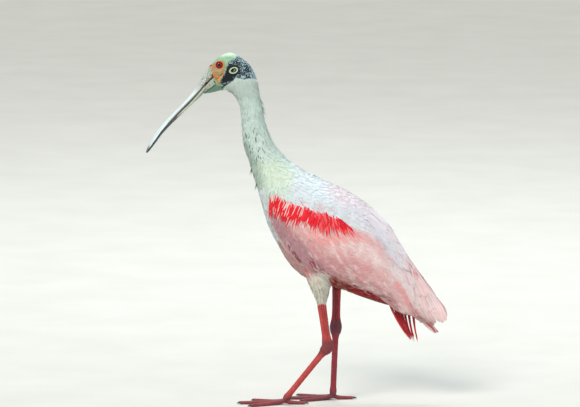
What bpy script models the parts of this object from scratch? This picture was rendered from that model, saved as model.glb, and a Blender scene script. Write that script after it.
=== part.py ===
"""Roseate spoonbill, adult, standing as it wades: a still, life-size model.

The bird faces -X, its left side is at -Y, and its soles are at z = 0. Sizes are in millimetres until a
mesh is made. The head, neck and trunk are one row of ribs, parted by thin cuts. Each leg is another. A rib
is an oval that runs from a back point to a front point, with a half width across.
"""

import math
from collections import namedtuple

import bmesh
import bpy
from mathutils import Vector

MM = 0.001
GAP = 0.3  # between neighbouring parts
GROWTH = 0.45  # of a part that cuts its neighbour

BODY_SIDES = 22
TAIL_SIDES = 14
LIMB_SIDES = 10
BILL_SIDES = 10
RINGS_PER_RIB = 2
SHARP = math.radians(50)

EYE_RADIUS = 7.0
EYE_PLACE = (-131.0, 11.3, 555.9)  # of the right eye
EAR_PLACE = (-107.9, 20.2, 548.1)  # of the right ear
EAR_LENGTH = 12.5
EAR_HEIGHT = 8.5
EAR_RIM = 1.5
EAR_TILT = math.radians(20)
EAR_SIDES = 12
RIM_SIDES = 6

WING_REACH = 120.0  # how far a wing's outline is extruded across, past the widest place
FEATHER_STEP = 3.0  # depth of the notches between the feather tips along a wing's edge

TIBIA_HALF = 7.0
TARSUS_HALF = 5.0
ANKLE_REACH = 10.0  # from the middle of the ankle's knob to each of its ends
ANKLE_HALF = (10.3, 8.0)  # half depth and half width in its middle
ANKLE_END_HALF = (8.4, 6.8)
TARSUS_TOP = 19.0  # below the ankle's middle
SOLE_RISE = (14.0, 5.0, -2.0)  # the last ribs' distances above the ball of the foot
SOLE_PRESS = 0.8  # height of a toe's axis, as a share of the toe's half height
TOE_ARCH = 3.0  # how much higher that axis is at the root
TOE_HALF = 3.9
CLAW_LENGTH = 8.0

# A rib's points are (x, z) in the bird's middle plane. Egg is how much wider the rib is at its back.
Rib = namedtuple("Rib", "name back front half_width egg")
BODY = [
    Rib("bill base", (-146, 554), (-156, 508), 13.5, 0.05),
    Rib("lores", (-141, 559), (-151.5, 508.5), 15.0, 0.15),
    Rib("forehead", (-132, 568), (-145, 509), 17.0, 0.2),
    Rib("eye", (-122, 573), (-138, 510.5), 19.0, 0.2),
    Rib("crown", (-111, 574.5), (-130, 512.5), 20.5, 0.2),
    Rib("cheek", (-95, 566), (-122, 513), 21.0, 0.2),
    Rib("nape top", (-79.5, 551.5), (-114, 509.5), 20.5, 0.1),
    Rib("nape", (-69.5, 529), (-107, 503.5), 19.0, 0.0),
    Rib("throat", (-65, 505), (-101, 494), 17.5, 0.0),
    Rib("upper neck", (-60.5, 481), (-97, 480.5), 17.0, 0.0),
    Rib("mid neck", (-56.5, 462), (-95.5, 460.5), 17.5, 0.0),
    Rib("lower neck", (-50.5, 443), (-94.5, 440), 19.0, 0.0),
    Rib("neck root", (-40.5, 423.5), (-91, 418), 22.0, 0.0),
    Rib("shoulders", (-26, 406), (-83.5, 398), 27.0, 0.0),
    Rib("mantle top", (-8, 392), (-78, 377), 34.0, 0.0),
    Rib("crop", (16, 376.5), (-70, 353), 43.0, 0.0),
    Rib("upper breast", (41, 364), (-62, 324), 50.5, 0.0),
    Rib("breast", (63, 353), (-52, 290), 55.5, 0.0),
    Rib("keel", (87, 331), (-34, 255), 58.0, 0.0),
    Rib("belly", (112, 309), (-13, 222), 58.0, 0.0),
    Rib("loin", (134, 284), (19.5, 199), 54.0, 0.0),
    Rib("flank", (150, 257), (65, 186), 46.0, 0.0),
    Rib("vent", (163, 230), (107.5, 171), 36.0, 0.0),
    Rib("tail root", (171, 205), (143, 160), 24.0, 0.0),
    Rib("tail end", (173, 194), (154, 163), 17.0, 0.0),
]
# The folded wings' outer form, from the shoulders back to the tips of the long feathers.
WINGS = [
    Rib("shoulder", (16, 378), (-70, 353), 46.0, 0.0),
    Rib("wrist", (41, 365), (-63, 324), 55.0, 0.0),
    Rib("forearm", (65, 355), (-54, 289), 63.0, 0.0),
    Rib("coverts", (93, 339), (-36, 254), 67.5, 0.0),
    Rib("scapulars", (120.5, 318), (-15, 220), 68.0, 0.0),
    Rib("elbow", (145, 292), (17.5, 196), 64.5, 0.0),
    Rib("tertials", (163, 262), (62, 182), 57.0, 0.0),
    Rib("secondaries", (177.5, 239), (104, 164), 47.0, 0.05),
    Rib("primaries", (195, 216), (140, 146), 36.0, 0.1),
    Rib("long feathers", (212, 194), (172, 130), 26.0, 0.1),
    Rib("tips", (228, 168), (205, 118), 17.0, 0.1),
    Rib("last tip", (243, 136), (233, 116), 8.0, 0.0),
]
TAIL = [
    Rib("quills", (168, 190), (158, 168), 13.0, 0.0),
    Rib("base", (180, 176), (172, 160), 18.0, 0.0),
    Rib("middle", (201, 150), (195, 138), 24.0, 0.0),
    Rib("end", (222, 126), (218, 118), 27.0, 0.0),
    Rib("tips", (229, 118), (226, 112), 22.0, 0.0),
]
UNDERTAIL = [
    Rib("vent", (170, 170), (139, 166), 22.0, 0.0),
    Rib("root", (183, 152), (147.5, 151), 20.0, 0.0),
    Rib("middle", (190, 133), (161, 129), 16.0, 0.0),
    Rib("lower", (192, 114), (174, 110), 11.0, 0.0),
    Rib("tips", (193, 98), (184, 96), 5.0, 0.0),
]
# The wing's outline from the side, as (x, z): forward edge, then the edge under the belly to the tips.
WING_FRONT = [(22, 373), (-22, 362), (-52, 346), (-51, 311), (-41, 279), (-23, 251), (5, 225)]
WING_EDGE = [(5, 225), (33, 216), (65, 203), (98, 191), (130, 178), (152, 165), (166, 147), (186, 143)]
WING_TIPS = [(186, 143), (207, 126), (212, 131), (222, 119), (231, 127), (243, 131)]
WING_BACK = [(262, 131), (250, 190), (200, 262), (130, 362), (75, 392)]

# The leg's ribs as centre (x, z), half depth and half width, from the hip to the foot.
Joint = namedtuple("Joint", "place depth width")
THIGH = [
    Joint((24, 246), 27, 19),
    Joint((29, 222), 24, 18),
    Joint((31.8, 204), 20, 16),
    Joint((34, 185), 14, 12),
    Joint((34.8, 170), 8.8, 8),
]
RIGHT_THIGH_SHIFT = (24.6, 19.8)
SHIN_TOP = (35.3, 163)
LEFT_ANKLE = (45, 95)
LEFT_FOOT = (-23.5, 9.6)
RIGHT_ANKLE = (58.5, 120.5)
RIGHT_FOOT = (54, 9.6)
LEG_SPREAD = 27.0  # from the middle plane to each leg
RIGHT_FOOT_INWARD = 8.0
# The first and last rib of each piece of a leg, as leg_ribs counts them.
LEG_CUTS = {"thigh": (0, 5), "shin": (5, 8), "ankle": (8, 10), "tarsus": (10, 13), "foot": (13, 15)}

# Toe name: (angle from straight ahead in degrees, length, half width at the root)
TOES = {
    "middle": (0, 70, 4.0),
    "outer": (27, 60, 3.8),
    "inner": (-27, 54, 3.8),
    "hind": (176, 31, 3.2),
}
TOE_RINGS = 5
WEB_REACH = 17.0
WEB_THICK = 1.6

# (top, upper and lower mandible's mouth side, bottom, half width), from the face to the tip of the spoon.
# The bill is a little open along its middle.
BILL = [
    ((-147.1, 552.5), (-152.6, 527.2), (-152.9, 525.6), (-156.9, 507.5), 13.0),
    ((-157.5, 538.9), (-159.4, 517.6), (-160.2, 515.4), (-162.8, 501.9), 12.3),
    ((-168.5, 518.5), (-168.8, 507.3), (-169.4, 503.4), (-170.2, 495.2), 11.5),
    ((-183.7, 499.4), (-180.1, 495.9), (-177.8, 493.7), (-175.2, 490.6), 10.0),
    ((-198.9, 483), (-195.9, 480.1), (-193.8, 478), (-190.9, 475.4), 9.5),
    ((-215.1, 466.6), (-211.9, 463.4), (-210.6, 462.1), (-207.9, 459.4), 11.0),
    ((-229.5, 449.8), (-226.4, 446.8), (-225.9, 446.3), (-222.9, 443.4), 18.0),
    ((-240.5, 433.8), (-237.5, 431.6), (-237.1, 431.3), (-234, 428.9), 25.5),
    ((-248.4, 419), (-246.1, 418), (-245.8, 417.8), (-243.6, 416.8), 21.5),
    ((-251, 412.4), (-250, 412), (-250, 412), (-248.6, 411.4), 11.0),
]
BILL_EDGE = 0.7  # thickness of a mandible at its sides
BILL_LEAST = 0.9  # its least thickness in the middle
LOWER_INSET = 0.6  # by which the lower mandible is narrower on each side


def start_empty():
    """Remove what the new file holds."""
    for leftover in list(bpy.data.objects):
        bpy.data.objects.remove(leftover)


def finish(name, colour, roughness):
    """A plain material."""
    material = bpy.data.materials.new(name)
    material.use_nodes = True
    shader = material.node_tree.nodes["Principled BSDF"]
    shader.inputs["Base Color"].default_value = (*colour, 1.0)
    shader.inputs["Roughness"].default_value = roughness
    return material


def catmull(rows, t):
    """A smooth row between rows of numbers, at t counted in rows."""
    last = len(rows) - 1
    i = min(int(t), last - 1)
    f = t - i
    a, b, c, d = (rows[max(0, min(last, k))] for k in (i - 1, i, i + 1, i + 2))
    return [
        0.5 * (2 * q + (r - p) * f + (2 * p - 5 * q + 4 * r - s) * f**2 + (3 * q - p - 3 * r + s) * f**3)
        for p, q, r, s in zip(a, b, c, d)
    ]


def smooth_line(points, steps):
    """Points along a smooth line through the given ones."""
    count = (len(points) - 1) * steps
    return [tuple(catmull(points, k / steps)) for k in range(count + 1)]


def oval(centre, deep, wide, sides, egg=0.0, turn=0.0):
    """A ring round a centre. Deep and wide are its half axes, as vectors, and turn is counted in sides."""
    ring = []
    for k in range(sides):
        angle = math.tau * (k + turn) / sides
        across = math.sin(angle) * (1 + egg * math.cos(angle))
        ring.append(centre + deep * math.cos(angle) + wide * across)
    return ring


def body_ring(ribs, t, grow=0.0, sides=BODY_SIDES):
    """The ring at t in a row of ribs."""
    rows = [(*rib.back, *rib.front, rib.half_width, rib.egg) for rib in ribs]
    back_x, back_z, front_x, front_z, half_width, egg = catmull(rows, t)
    back = Vector((back_x, 0, back_z))
    front = Vector((front_x, 0, front_z))
    deep = (back - front) / 2
    deep += deep.normalized() * grow
    return oval((back + front) / 2, deep, Vector((0, half_width + grow, 0)), sides, egg)


def add_object(name, mesh, material):
    mesh.materials.append(material)
    mesh.shade_smooth()
    mesh.set_sharp_from_angle(angle=SHARP)
    thing = bpy.data.objects.new(name, mesh)
    bpy.context.collection.objects.link(thing)
    return thing


def loft(name, rings, material, closed=False):
    """A closed solid through rings of equal count, with a flat cap at each end, or joined end to end."""
    mesh = bpy.data.meshes.new(name)
    shape = bmesh.new()
    rows = [[shape.verts.new(point * MM) for point in ring] for ring in rings]
    for low, high in zip(rows, rows[1:] + rows[:1] if closed else rows[1:]):
        for k in range(len(low)):
            after = (k + 1) % len(low)
            shape.faces.new((low[k], low[after], high[after], high[k]))
    if not closed:
        shape.faces.new(rows[0][::-1])
        shape.faces.new(rows[-1])
    bmesh.ops.recalc_face_normals(shape, faces=shape.faces)
    shape.to_mesh(mesh)
    shape.free()
    return add_object(name, mesh, material)


def rib_number(ribs, name):
    return [rib.name for rib in ribs].index(name)


def rib_slice(name, ribs, start, end, material, grow=0.0, sides=BODY_SIDES):
    """The solid between two named ribs, ended half a gap short of each cut, or past it where it grows."""
    first = rib_number(ribs, start)
    last = rib_number(ribs, end)
    stops = [first + k / RINGS_PER_RIB for k in range((last - first) * RINGS_PER_RIB + 1)]
    rings = [body_ring(ribs, t, grow, sides) for t in stops]
    for ring, neighbour in ((rings[0], rings[1]), (rings[-1], rings[-2])):
        inward = sum(neighbour, Vector()) - sum(ring, Vector())
        inward = inward.normalized() * (GAP / 2 - grow)
        for point in ring:
            point += inward
    return loft(name, rings, material)


def guide(thing):
    """Mark an object as a cutter, which is no part of the bird."""
    thing.hide_render = True
    thing.display_type = "WIRE"
    return thing


def boolean(thing, other, operation):
    cut = thing.modifiers.new(operation.lower() + "_" + other.name, "BOOLEAN")
    cut.operation = operation
    cut.solver = "EXACT"
    cut.object = other


def make_head(skin):
    """The bare head, with a socket for each eye."""
    head = rib_slice("head", BODY, "bill base", "throat", skin)
    for side, word in ((-1, "left"), (1, "right")):
        socket = guide(ball("socket_" + word, EYE_PLACE, side, EYE_RADIUS + GAP, skin))
        boolean(head, socket, "DIFFERENCE")


def ball(name, place, side, radius, material):
    mesh = bpy.data.meshes.new(name)
    shape = bmesh.new()
    bmesh.ops.create_uvsphere(shape, u_segments=12, v_segments=8, radius=radius * MM)
    centre = Vector((place[0], side * place[1], place[2])) * MM
    bmesh.ops.translate(shape, verts=shape.verts, vec=centre)
    shape.to_mesh(mesh)
    shape.free()
    return add_object(name, mesh, material)


def make_ear(word, side, skin, head_guide):
    """The ear's raised oval rim, which lies on the side of the head."""
    centre = Vector((EAR_PLACE[0], side * EAR_PLACE[1], EAR_PLACE[2]))
    rings = []
    for k in range(EAR_SIDES):
        turn = math.tau * k / EAR_SIDES
        out = Vector((math.cos(turn + EAR_TILT), 0, math.sin(turn + EAR_TILT)))
        length = (EAR_LENGTH / 2 - EAR_RIM) * math.cos(turn)
        height = (EAR_HEIGHT / 2 - EAR_RIM) * math.sin(turn)
        along = Vector((math.cos(EAR_TILT), 0, math.sin(EAR_TILT)))
        up = Vector((-math.sin(EAR_TILT), 0, math.cos(EAR_TILT)))
        rim = oval(centre + along * length + up * height, out * EAR_RIM, Vector((0, EAR_RIM, 0)), RIM_SIDES)
        rings.append(rim)
    ear = loft("ear_" + word, rings, skin, closed=True)
    boolean(ear, head_guide, "DIFFERENCE")


def half_ring(mouth, far, wide):
    """Half an oval from a mandible's flat mouth side to its far side, with blunt edges."""
    mouth = Vector((mouth[0], 0, mouth[1]))
    far = Vector((far[0], 0, far[1]))
    rise = far - mouth
    out = rise.normalized()
    start = mouth + out * (GAP / 2)
    depth = max(rise.length - GAP / 2, BILL_LEAST)
    ring = [start + Vector((0, wide, 0)), start - Vector((0, wide, 0))]
    for k in range(BILL_SIDES + 1):
        angle = math.pi * k / BILL_SIDES
        height = BILL_EDGE + (depth - BILL_EDGE) * math.sin(angle) ** 0.8
        ring.append(start + out * height - Vector((0, wide * math.cos(angle), 0)))
    return ring


def make_bill(horn):
    """The two mandibles, each flat inside and rounded outside, ending in the spoon."""
    rows = [(*top, *roof, *floor, *bottom, width) for top, roof, floor, bottom, width in BILL]
    steps = RINGS_PER_RIB
    stops = [k / steps for k in range((len(BILL) - 1) * steps + 1)]
    upper = []
    lower = []
    for t in stops:
        top_x, top_z, roof_x, roof_z, floor_x, floor_z, low_x, low_z, width = catmull(rows, t)
        upper.append(half_ring((roof_x, roof_z), (top_x, top_z), width))
        lower.append(half_ring((floor_x, floor_z), (low_x, low_z), width - LOWER_INSET))
    loft("bill_upper", upper, horn)
    loft("bill_lower", lower, horn)


def feather_edge(points):
    """An edge that steps in a little between the feather tips."""
    return [(x, z + FEATHER_STEP * (k % 2)) for k, (x, z) in enumerate(points)]


def prism(name, outline, near, far, material):
    """An outline of (x, z) points, extruded across from near to far."""
    rings = [[Vector((x, y, z)) for x, z in outline] for y in (near, far)]
    return loft(name, rings, material)


def wing_block(name, side, plumage, grow=0.0):
    """The wings' outer form within one wing's outline."""
    stops = [k / RINGS_PER_RIB for k in range((len(WINGS) - 1) * RINGS_PER_RIB + 1)]
    outer = [body_ring(WINGS, t, grow) for t in stops]
    form = guide(loft("form_of_" + name, outer, plumage))
    front = smooth_line(WING_FRONT, 2)
    edge = feather_edge(smooth_line(WING_EDGE, 3))
    outline = [(x - grow, z - grow) for x, z in front[:-1] + edge[:-1] + WING_TIPS + WING_BACK]
    block = prism(name, outline, side * GAP / 2, side * WING_REACH, plumage)
    boolean(block, form, "INTERSECT")
    return block


def make_wing(word, side, plumage, cutters):
    """A folded wing, hollowed where it lies on the trunk. Returns a grown copy that cuts the thigh."""
    wing = wing_block("wing_" + word, side, plumage)
    for cutter in cutters:
        boolean(wing, cutter, "DIFFERENCE")
    return guide(wing_block("wing_guide_" + word, side, plumage, GROWTH))


def leg_ribs(word):
    """Every rib of a leg from the hip to the foot, as (centre, half depth, half width)."""
    if word == "left":
        shift = (0, 0)
        ankle = LEFT_ANKLE
        foot = LEFT_FOOT
        hip_y = -LEG_SPREAD
        foot_y = -LEG_SPREAD
    else:
        shift = RIGHT_THIGH_SHIFT
        ankle = RIGHT_ANKLE
        foot = RIGHT_FOOT
        hip_y = LEG_SPREAD
        foot_y = LEG_SPREAD - RIGHT_FOOT_INWARD
    knee = Vector((SHIN_TOP[0] + shift[0], hip_y, SHIN_TOP[1] + shift[1]))
    heel = Vector((ankle[0], foot_y, ankle[1]))
    sole = Vector((foot[0], foot_y, foot[1]))
    down = (heel - knee).normalized()
    onward = (sole - heel).normalized()
    ribs = [
        (Vector((joint.place[0] + shift[0], hip_y, joint.place[1] + shift[1])), joint.depth, joint.width)
        for joint in THIGH
    ]
    shin = (TIBIA_HALF, TIBIA_HALF * 0.85)
    tarsus = (TARSUS_HALF, TARSUS_HALF * 0.9)
    ribs += [
        (knee, TIBIA_HALF + 0.6, TIBIA_HALF),
        (knee.lerp(heel, 0.35), *shin),
        (knee.lerp(heel, 0.7), *shin),
        (heel - down * ANKLE_REACH, *ANKLE_END_HALF),
        (heel, *ANKLE_HALF),
        (heel + onward * ANKLE_REACH, *ANKLE_END_HALF),
        (heel + onward * TARSUS_TOP, TARSUS_HALF + 0.4, TARSUS_HALF),
        (heel.lerp(sole, 0.55), *tarsus),
        (sole - onward * SOLE_RISE[0], *tarsus),
        (sole - onward * SOLE_RISE[1], TARSUS_HALF + 1.0, TARSUS_HALF + 0.8),
        (sole - onward * SOLE_RISE[2], TARSUS_HALF, TARSUS_HALF + 0.4),
    ]
    return ribs


def leg_ring(ribs, t):
    """The ring at t along a leg, square to the leg there."""
    rows = [(*centre, depth, width) for centre, depth, width in ribs]
    step = 0.2
    here = catmull(rows, t)
    ahead = Vector(catmull(rows, min(t + step, len(rows) - 1))[:3])
    behind = Vector(catmull(rows, max(t - step, 0))[:3])
    along = (ahead - behind).normalized()
    across = Vector((0, 1, 0))
    back = along.cross(across).normalized()
    return oval(Vector(here[:3]), back * here[3], across * here[4], LIMB_SIDES)


def leg_slice(name, ribs, first, last, material):
    stops = [first + k / RINGS_PER_RIB for k in range((last - first) * RINGS_PER_RIB + 1)]
    rings = [leg_ring(ribs, t) for t in stops]
    for ring, neighbour in ((rings[0], rings[1]), (rings[-1], rings[-2])):
        inward = (sum(neighbour, Vector()) - sum(ring, Vector())).normalized() * (GAP / 2)
        for point in ring:
            point += inward
    return loft(name, rings, material)


def toe_ring(root, ahead, across, along, lift, half_width, half_height):
    """A toe's ring, with one side pressed flat where it meets the floor."""
    centre = Vector((root.x, root.y, lift)) + ahead * along
    ring = oval(centre, Vector((0, 0, half_height)), across * half_width, LIMB_SIDES, turn=0.5)
    for point in ring:
        point.z = max(point.z, 0.0)
    return ring


def make_foot(word, ribs, skin, horn):
    """Three toes ahead and one behind, a small web between the front ones, and a claw on each."""
    root = Vector(ribs[-1][0])
    foot = leg_slice("foot_" + word, ribs, *LEG_CUTS["foot"], skin)
    turn_out = 1 if word == "right" else -1
    for toe, (angle, length, half) in TOES.items():
        heading = math.radians(180 - turn_out * angle)
        ahead = Vector((math.cos(heading), math.sin(heading), 0))
        across = Vector((-ahead.y, ahead.x, 0))
        rings = []
        for k in range(TOE_RINGS):
            share = k / (TOE_RINGS - 1)
            width = half * (1 - 0.3 * share)
            height = TOE_HALF * (1 - 0.22 * share)
            lift = SOLE_PRESS * height + TOE_ARCH * max(0.0, 1 - 3 * share)
            rings.append(toe_ring(root, ahead, across, length * share, lift, width, height))
        piece = guide(loft("toe_" + toe + "_" + word, rings, skin))
        boolean(foot, piece, "UNION")
        make_claw("claw_" + toe + "_" + word, root, ahead, across, length, half, horn)
    make_web(foot, word, root, turn_out, skin)


def make_claw(name, root, ahead, across, length, half, horn):
    rings = []
    for share, size, lift in ((0, 0.6, 2.7), (0.4, 0.52, 3.2), (0.75, 0.33, 2.7), (1, 0.14, 1.7)):
        centre = Vector((root.x, root.y, lift)) + ahead * (length + GAP + CLAW_LENGTH * share)
        rings.append(oval(centre, Vector((0, 0, half * size * 1.1)), across * half * size, 8))
    for ring in rings:
        for point in ring:
            point.z = max(point.z, 0.4)
    loft(name, rings, horn)


def make_web(foot, word, root, turn_out, skin):
    """The small web at the root of the front toes."""
    outline = [(0, 0)]
    for toe in ("inner", "middle", "outer"):
        heading = math.radians(180 - turn_out * TOES[toe][0])
        outline.append((math.cos(heading) * WEB_REACH, math.sin(heading) * WEB_REACH))
    low = SOLE_PRESS * TOE_HALF - WEB_THICK / 2
    rings = [[Vector((root.x + x, root.y + y, z)) for x, y in outline] for z in (low, low + WEB_THICK)]
    web = guide(loft("web_" + word, rings, skin))
    boolean(foot, web, "UNION")


def make_leg(word, skin, down, horn, cutters):
    ribs = leg_ribs(word)
    for piece in ("thigh", "shin", "ankle", "tarsus"):
        material = down if piece == "thigh" else skin
        made = leg_slice(piece + "_" + word, ribs, *LEG_CUTS[piece], material)
        if piece == "thigh":
            for cutter in cutters:
                boolean(made, cutter, "DIFFERENCE")
    make_foot(word, ribs, skin, horn)


def stand_centred():
    """Hang everything from one empty and put the middle of the bird's box over the origin."""
    bpy.context.view_layer.update()
    graph = bpy.context.evaluated_depsgraph_get()
    points = []
    for thing in bpy.data.objects:
        if not thing.hide_render:
            mesh = thing.evaluated_get(graph).to_mesh()
            points += [vertex.co.copy() for vertex in mesh.vertices]
    low = [min(point[k] for point in points) for k in range(3)]
    high = [max(point[k] for point in points) for k in range(3)]
    stance = bpy.data.objects.new("stance", None)
    bpy.context.collection.objects.link(stance)
    for thing in list(bpy.data.objects):
        if thing is not stance:
            thing.parent = stance
    stance.location = (-(low[0] + high[0]) / 2, -(low[1] + high[1]) / 2, -low[2])


def main():
    start_empty()
    bare_skin = finish("bare_skin", (0.5, 0.6, 0.4), 0.6)
    horn = finish("horn", (0.55, 0.6, 0.5), 0.35)
    claw_horn = finish("claw_horn", (0.08, 0.06, 0.06), 0.4)
    eye_glass = finish("eye", (0.5, 0.01, 0.02), 0.1)
    white_down = finish("white_down", (0.72, 0.78, 0.7), 0.8)
    pink_plumage = finish("pink_plumage", (0.75, 0.42, 0.4), 0.8)
    red_plumage = finish("red_plumage", (0.55, 0.03, 0.05), 0.8)
    leg_skin = finish("leg_skin", (0.6, 0.08, 0.07), 0.5)

    make_head(bare_skin)
    head_guide = guide(rib_slice("head_guide", BODY, "bill base", "throat", bare_skin, 0.2))
    for side, word in ((-1, "left"), (1, "right")):
        ball("eye_" + word, EYE_PLACE, side, EYE_RADIUS, eye_glass)
        make_ear(word, side, bare_skin, head_guide)
    make_bill(horn)

    rib_slice("neck_upper", BODY, "throat", "lower neck", white_down)
    rib_slice("neck_lower", BODY, "lower neck", "mantle top", white_down)
    rib_slice("trunk", BODY, "mantle top", "tail end", white_down)
    trunk_guide = guide(rib_slice("trunk_guide", BODY, "mantle top", "tail end", white_down, GROWTH))

    tail = rib_slice("tail", TAIL, "quills", "tips", pink_plumage, 0, TAIL_SIDES)
    tail_guide = guide(rib_slice("tail_guide", TAIL, "quills", "tips", pink_plumage, GROWTH, TAIL_SIDES))
    undertail = rib_slice("undertail_coverts", UNDERTAIL, "vent", "tips", red_plumage, 0, TAIL_SIDES)
    undertail_guide = guide(
        rib_slice("undertail_guide", UNDERTAIL, "vent", "tips", red_plumage, GROWTH, TAIL_SIDES)
    )
    boolean(tail, trunk_guide, "DIFFERENCE")
    boolean(undertail, trunk_guide, "DIFFERENCE")
    boolean(undertail, tail_guide, "DIFFERENCE")

    for side, word in ((-1, "left"), (1, "right")):
        wing_guide = make_wing(word, side, pink_plumage, (trunk_guide, tail_guide, undertail_guide))
        make_leg(word, leg_skin, white_down, claw_horn, (wing_guide, trunk_guide))
    stand_centred()


main()
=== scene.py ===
"""The looks of a roseate spoonbill, adult, standing as it wades: a still, life-size museum model.

The bird faces -X, its left side is at -Y and its soles are at z = 0. Sizes are written in millimetres and
turned to metres with MM. Markings and the lie of the plumage are laid out on a side drawing of the bird:
x along the bird and h up, both in millimetres. The drawing is seen from a little above, so what lies
further from the middle plane is drawn slightly lower.
"""

import math

import bpy
import numpy as np
from mathutils import Euler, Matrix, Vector
from mathutils.bvhtree import BVHTree
from mathutils.kdtree import KDTree


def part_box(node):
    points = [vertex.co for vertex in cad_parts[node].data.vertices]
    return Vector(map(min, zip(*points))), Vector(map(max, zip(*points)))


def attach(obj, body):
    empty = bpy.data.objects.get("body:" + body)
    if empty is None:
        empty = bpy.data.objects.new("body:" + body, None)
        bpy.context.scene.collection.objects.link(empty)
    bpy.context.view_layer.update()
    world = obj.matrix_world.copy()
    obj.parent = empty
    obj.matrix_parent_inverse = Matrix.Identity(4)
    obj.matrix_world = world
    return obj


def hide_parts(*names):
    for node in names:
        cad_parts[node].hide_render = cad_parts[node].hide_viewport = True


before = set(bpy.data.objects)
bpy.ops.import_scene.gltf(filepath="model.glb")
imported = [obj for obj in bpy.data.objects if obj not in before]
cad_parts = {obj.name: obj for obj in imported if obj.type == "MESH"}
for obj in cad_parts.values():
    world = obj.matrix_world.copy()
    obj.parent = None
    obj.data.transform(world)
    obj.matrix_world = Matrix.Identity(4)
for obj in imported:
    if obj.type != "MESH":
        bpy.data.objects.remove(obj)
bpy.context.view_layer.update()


# ------------------------------------------------------------------------------------------------
# Camera, light and floor. The model stands on a pale, matt studio floor under one broad soft light
# from the upper left, with a weak fill and a rim lamp from behind that lights the back and the neck.
# ------------------------------------------------------------------------------------------------
MM = 0.001
SCENE = bpy.context.scene
CAMERA_RISE = math.radians(8)
CAMERA_FAR = 10.504  # metres from the middle of the view
VIEW_MIDDLE = (-0.0125, 0.0, 0.3272)
FLOOR_REACH = 60.0  # metres, past the far edge of the view
LAMP_SPREAD = math.radians(24)
LAMP_SIZE = 1.8


def linear(code):
    """An sRGB hex colour as linear red, green and blue."""
    shares = [int(code[k : k + 2], 16) / 255 for k in (1, 3, 5)]
    return np.array([c / 12.92 if c <= 0.04045 else ((c + 0.055) / 1.055) ** 2.4 for c in shares])


def add_node(material, kind, settings=None, links=()):
    """Add a shader node. Settings are its properties and sockets, a link is (node, socket, own socket)."""
    tree = material.node_tree
    node = tree.nodes.new("ShaderNode" + kind)
    for name, value in (settings or {}).items():
        if name in node.inputs:
            node.inputs[name].default_value = value
        else:
            setattr(node, name, value)
    for source, socket, own in links:
        tree.links.new(source.outputs[socket], node.inputs[own])
    return node


def new_material(name, settings):
    """A material with one Principled shader, set to the given sockets."""
    material = bpy.data.materials.new(name)
    material.use_nodes = True
    shader = material.node_tree.nodes["Principled BSDF"]
    for socket, value in settings.items():
        shader.inputs[socket].default_value = value
    return material, shader


def drive(material, node, output, shader, socket):
    material.node_tree.links.new(node.outputs[output], shader.inputs[socket])


def lamp(name, kind, place, power, colour):
    """A lamp aimed at the model, its power in watts, or for the sun-like lamp in watts a square metre."""
    light = bpy.data.lights.new(name, kind)
    light.energy = power
    light.color = linear(colour)
    if kind == "SUN":
        light.angle = LAMP_SPREAD
    else:
        light.size = LAMP_SIZE
    thing = bpy.data.objects.new(name, light)
    SCENE.collection.objects.link(thing)
    thing.location = place
    thing.rotation_euler = (Vector(VIEW_MIDDLE) - Vector(place)).to_track_quat("-Z", "Y").to_euler()


def light_studio():
    lens = bpy.data.cameras.new("camera")
    lens.lens = 400
    camera = bpy.data.objects.new("camera", lens)
    SCENE.collection.objects.link(camera)
    back = Vector((0, -math.cos(CAMERA_RISE), math.sin(CAMERA_RISE)))
    camera.location = Vector(VIEW_MIDDLE) + back * CAMERA_FAR
    camera.rotation_euler = (math.pi / 2 - CAMERA_RISE, 0, 0)
    SCENE.camera = camera
    SCENE.view_settings.view_transform = "Standard"

    lamp("key_lamp", "SUN", (-1.5, -2.6, 3.3), 2.1, "#FFFBF2")
    lamp("fill_lamp", "AREA", (2.4, -2.4, 1.4), 18, "#EAF1FF")
    lamp("rim_lamp", "AREA", (0.3, 1.6, 3.0), 75, "#F4FBFF")
    world = bpy.data.worlds.new("studio")
    SCENE.world = world
    world.use_nodes = True
    sky = world.node_tree.nodes["Background"]
    sky.inputs["Color"].default_value = (*linear("#EEF3F6"), 1)
    sky.inputs["Strength"].default_value = 0.6


def lay_floor():
    """A wide sheet of studio paper with a faint grain."""
    mesh = bpy.data.meshes.new("studio_floor")
    reach = FLOOR_REACH
    corners = [(-reach, -reach, 0), (reach, -reach, 0), (reach, reach, 0), (-reach, reach, 0)]
    mesh.from_pydata(corners, [], [(0, 1, 2, 3)])
    paper, shader = new_material("matt_studio_paper", {"Roughness": 0.9, "Specular IOR Level": 0.2})
    grain = add_node(paper, "TexNoise", {"Scale": 900.0, "Detail": 2.0})
    shade = add_node(paper, "ValToRGB", {}, [(grain, "Fac", "Fac")])
    shade.color_ramp.elements[0].color = (*linear("#C6C6C0"), 1)
    shade.color_ramp.elements[1].color = (*linear("#D2D2CC"), 1)
    drive(paper, shade, "Color", shader, "Base Color")
    mesh.materials.append(paper)
    floor = bpy.data.objects.new("studio_floor", mesh)
    SCENE.collection.objects.link(floor)


light_studio()
lay_floor()


# ------------------------------------------------------------------------------------------------
# Markings. The skin and the feathers are coloured by one function, as in life, where the skin under
# the feathers takes their tone. Each area is a soft-edged outline or stroke on the side drawing.
# ------------------------------------------------------------------------------------------------
EAR_PLACE = (-103.9, 548.1)  # x and z
EAR_HALF = (6.3, 4.3)
EAR_TILT = math.radians(20)
EAR_FOLD = [(-103.4, 546.6), (-101.6, 549.8)]  # x and z, of the pale fold inside the ear
EYE_LOW, EYE_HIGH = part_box("eye_right")
EYE_PLACE = np.array(EYE_LOW + EYE_HIGH) / 2 / MM
EYE_RADIUS = (EYE_HIGH.x - EYE_LOW.x) / 2 / MM
EYE_AXIS = np.array([-0.06, 1.0, 0.12])  # the way the right eye looks
EYE_AXIS /= np.linalg.norm(EYE_AXIS)
DRAWN_LOWER = math.tan(CAMERA_RISE)

NECK_WHITE = "#D0E2DA"
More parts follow.
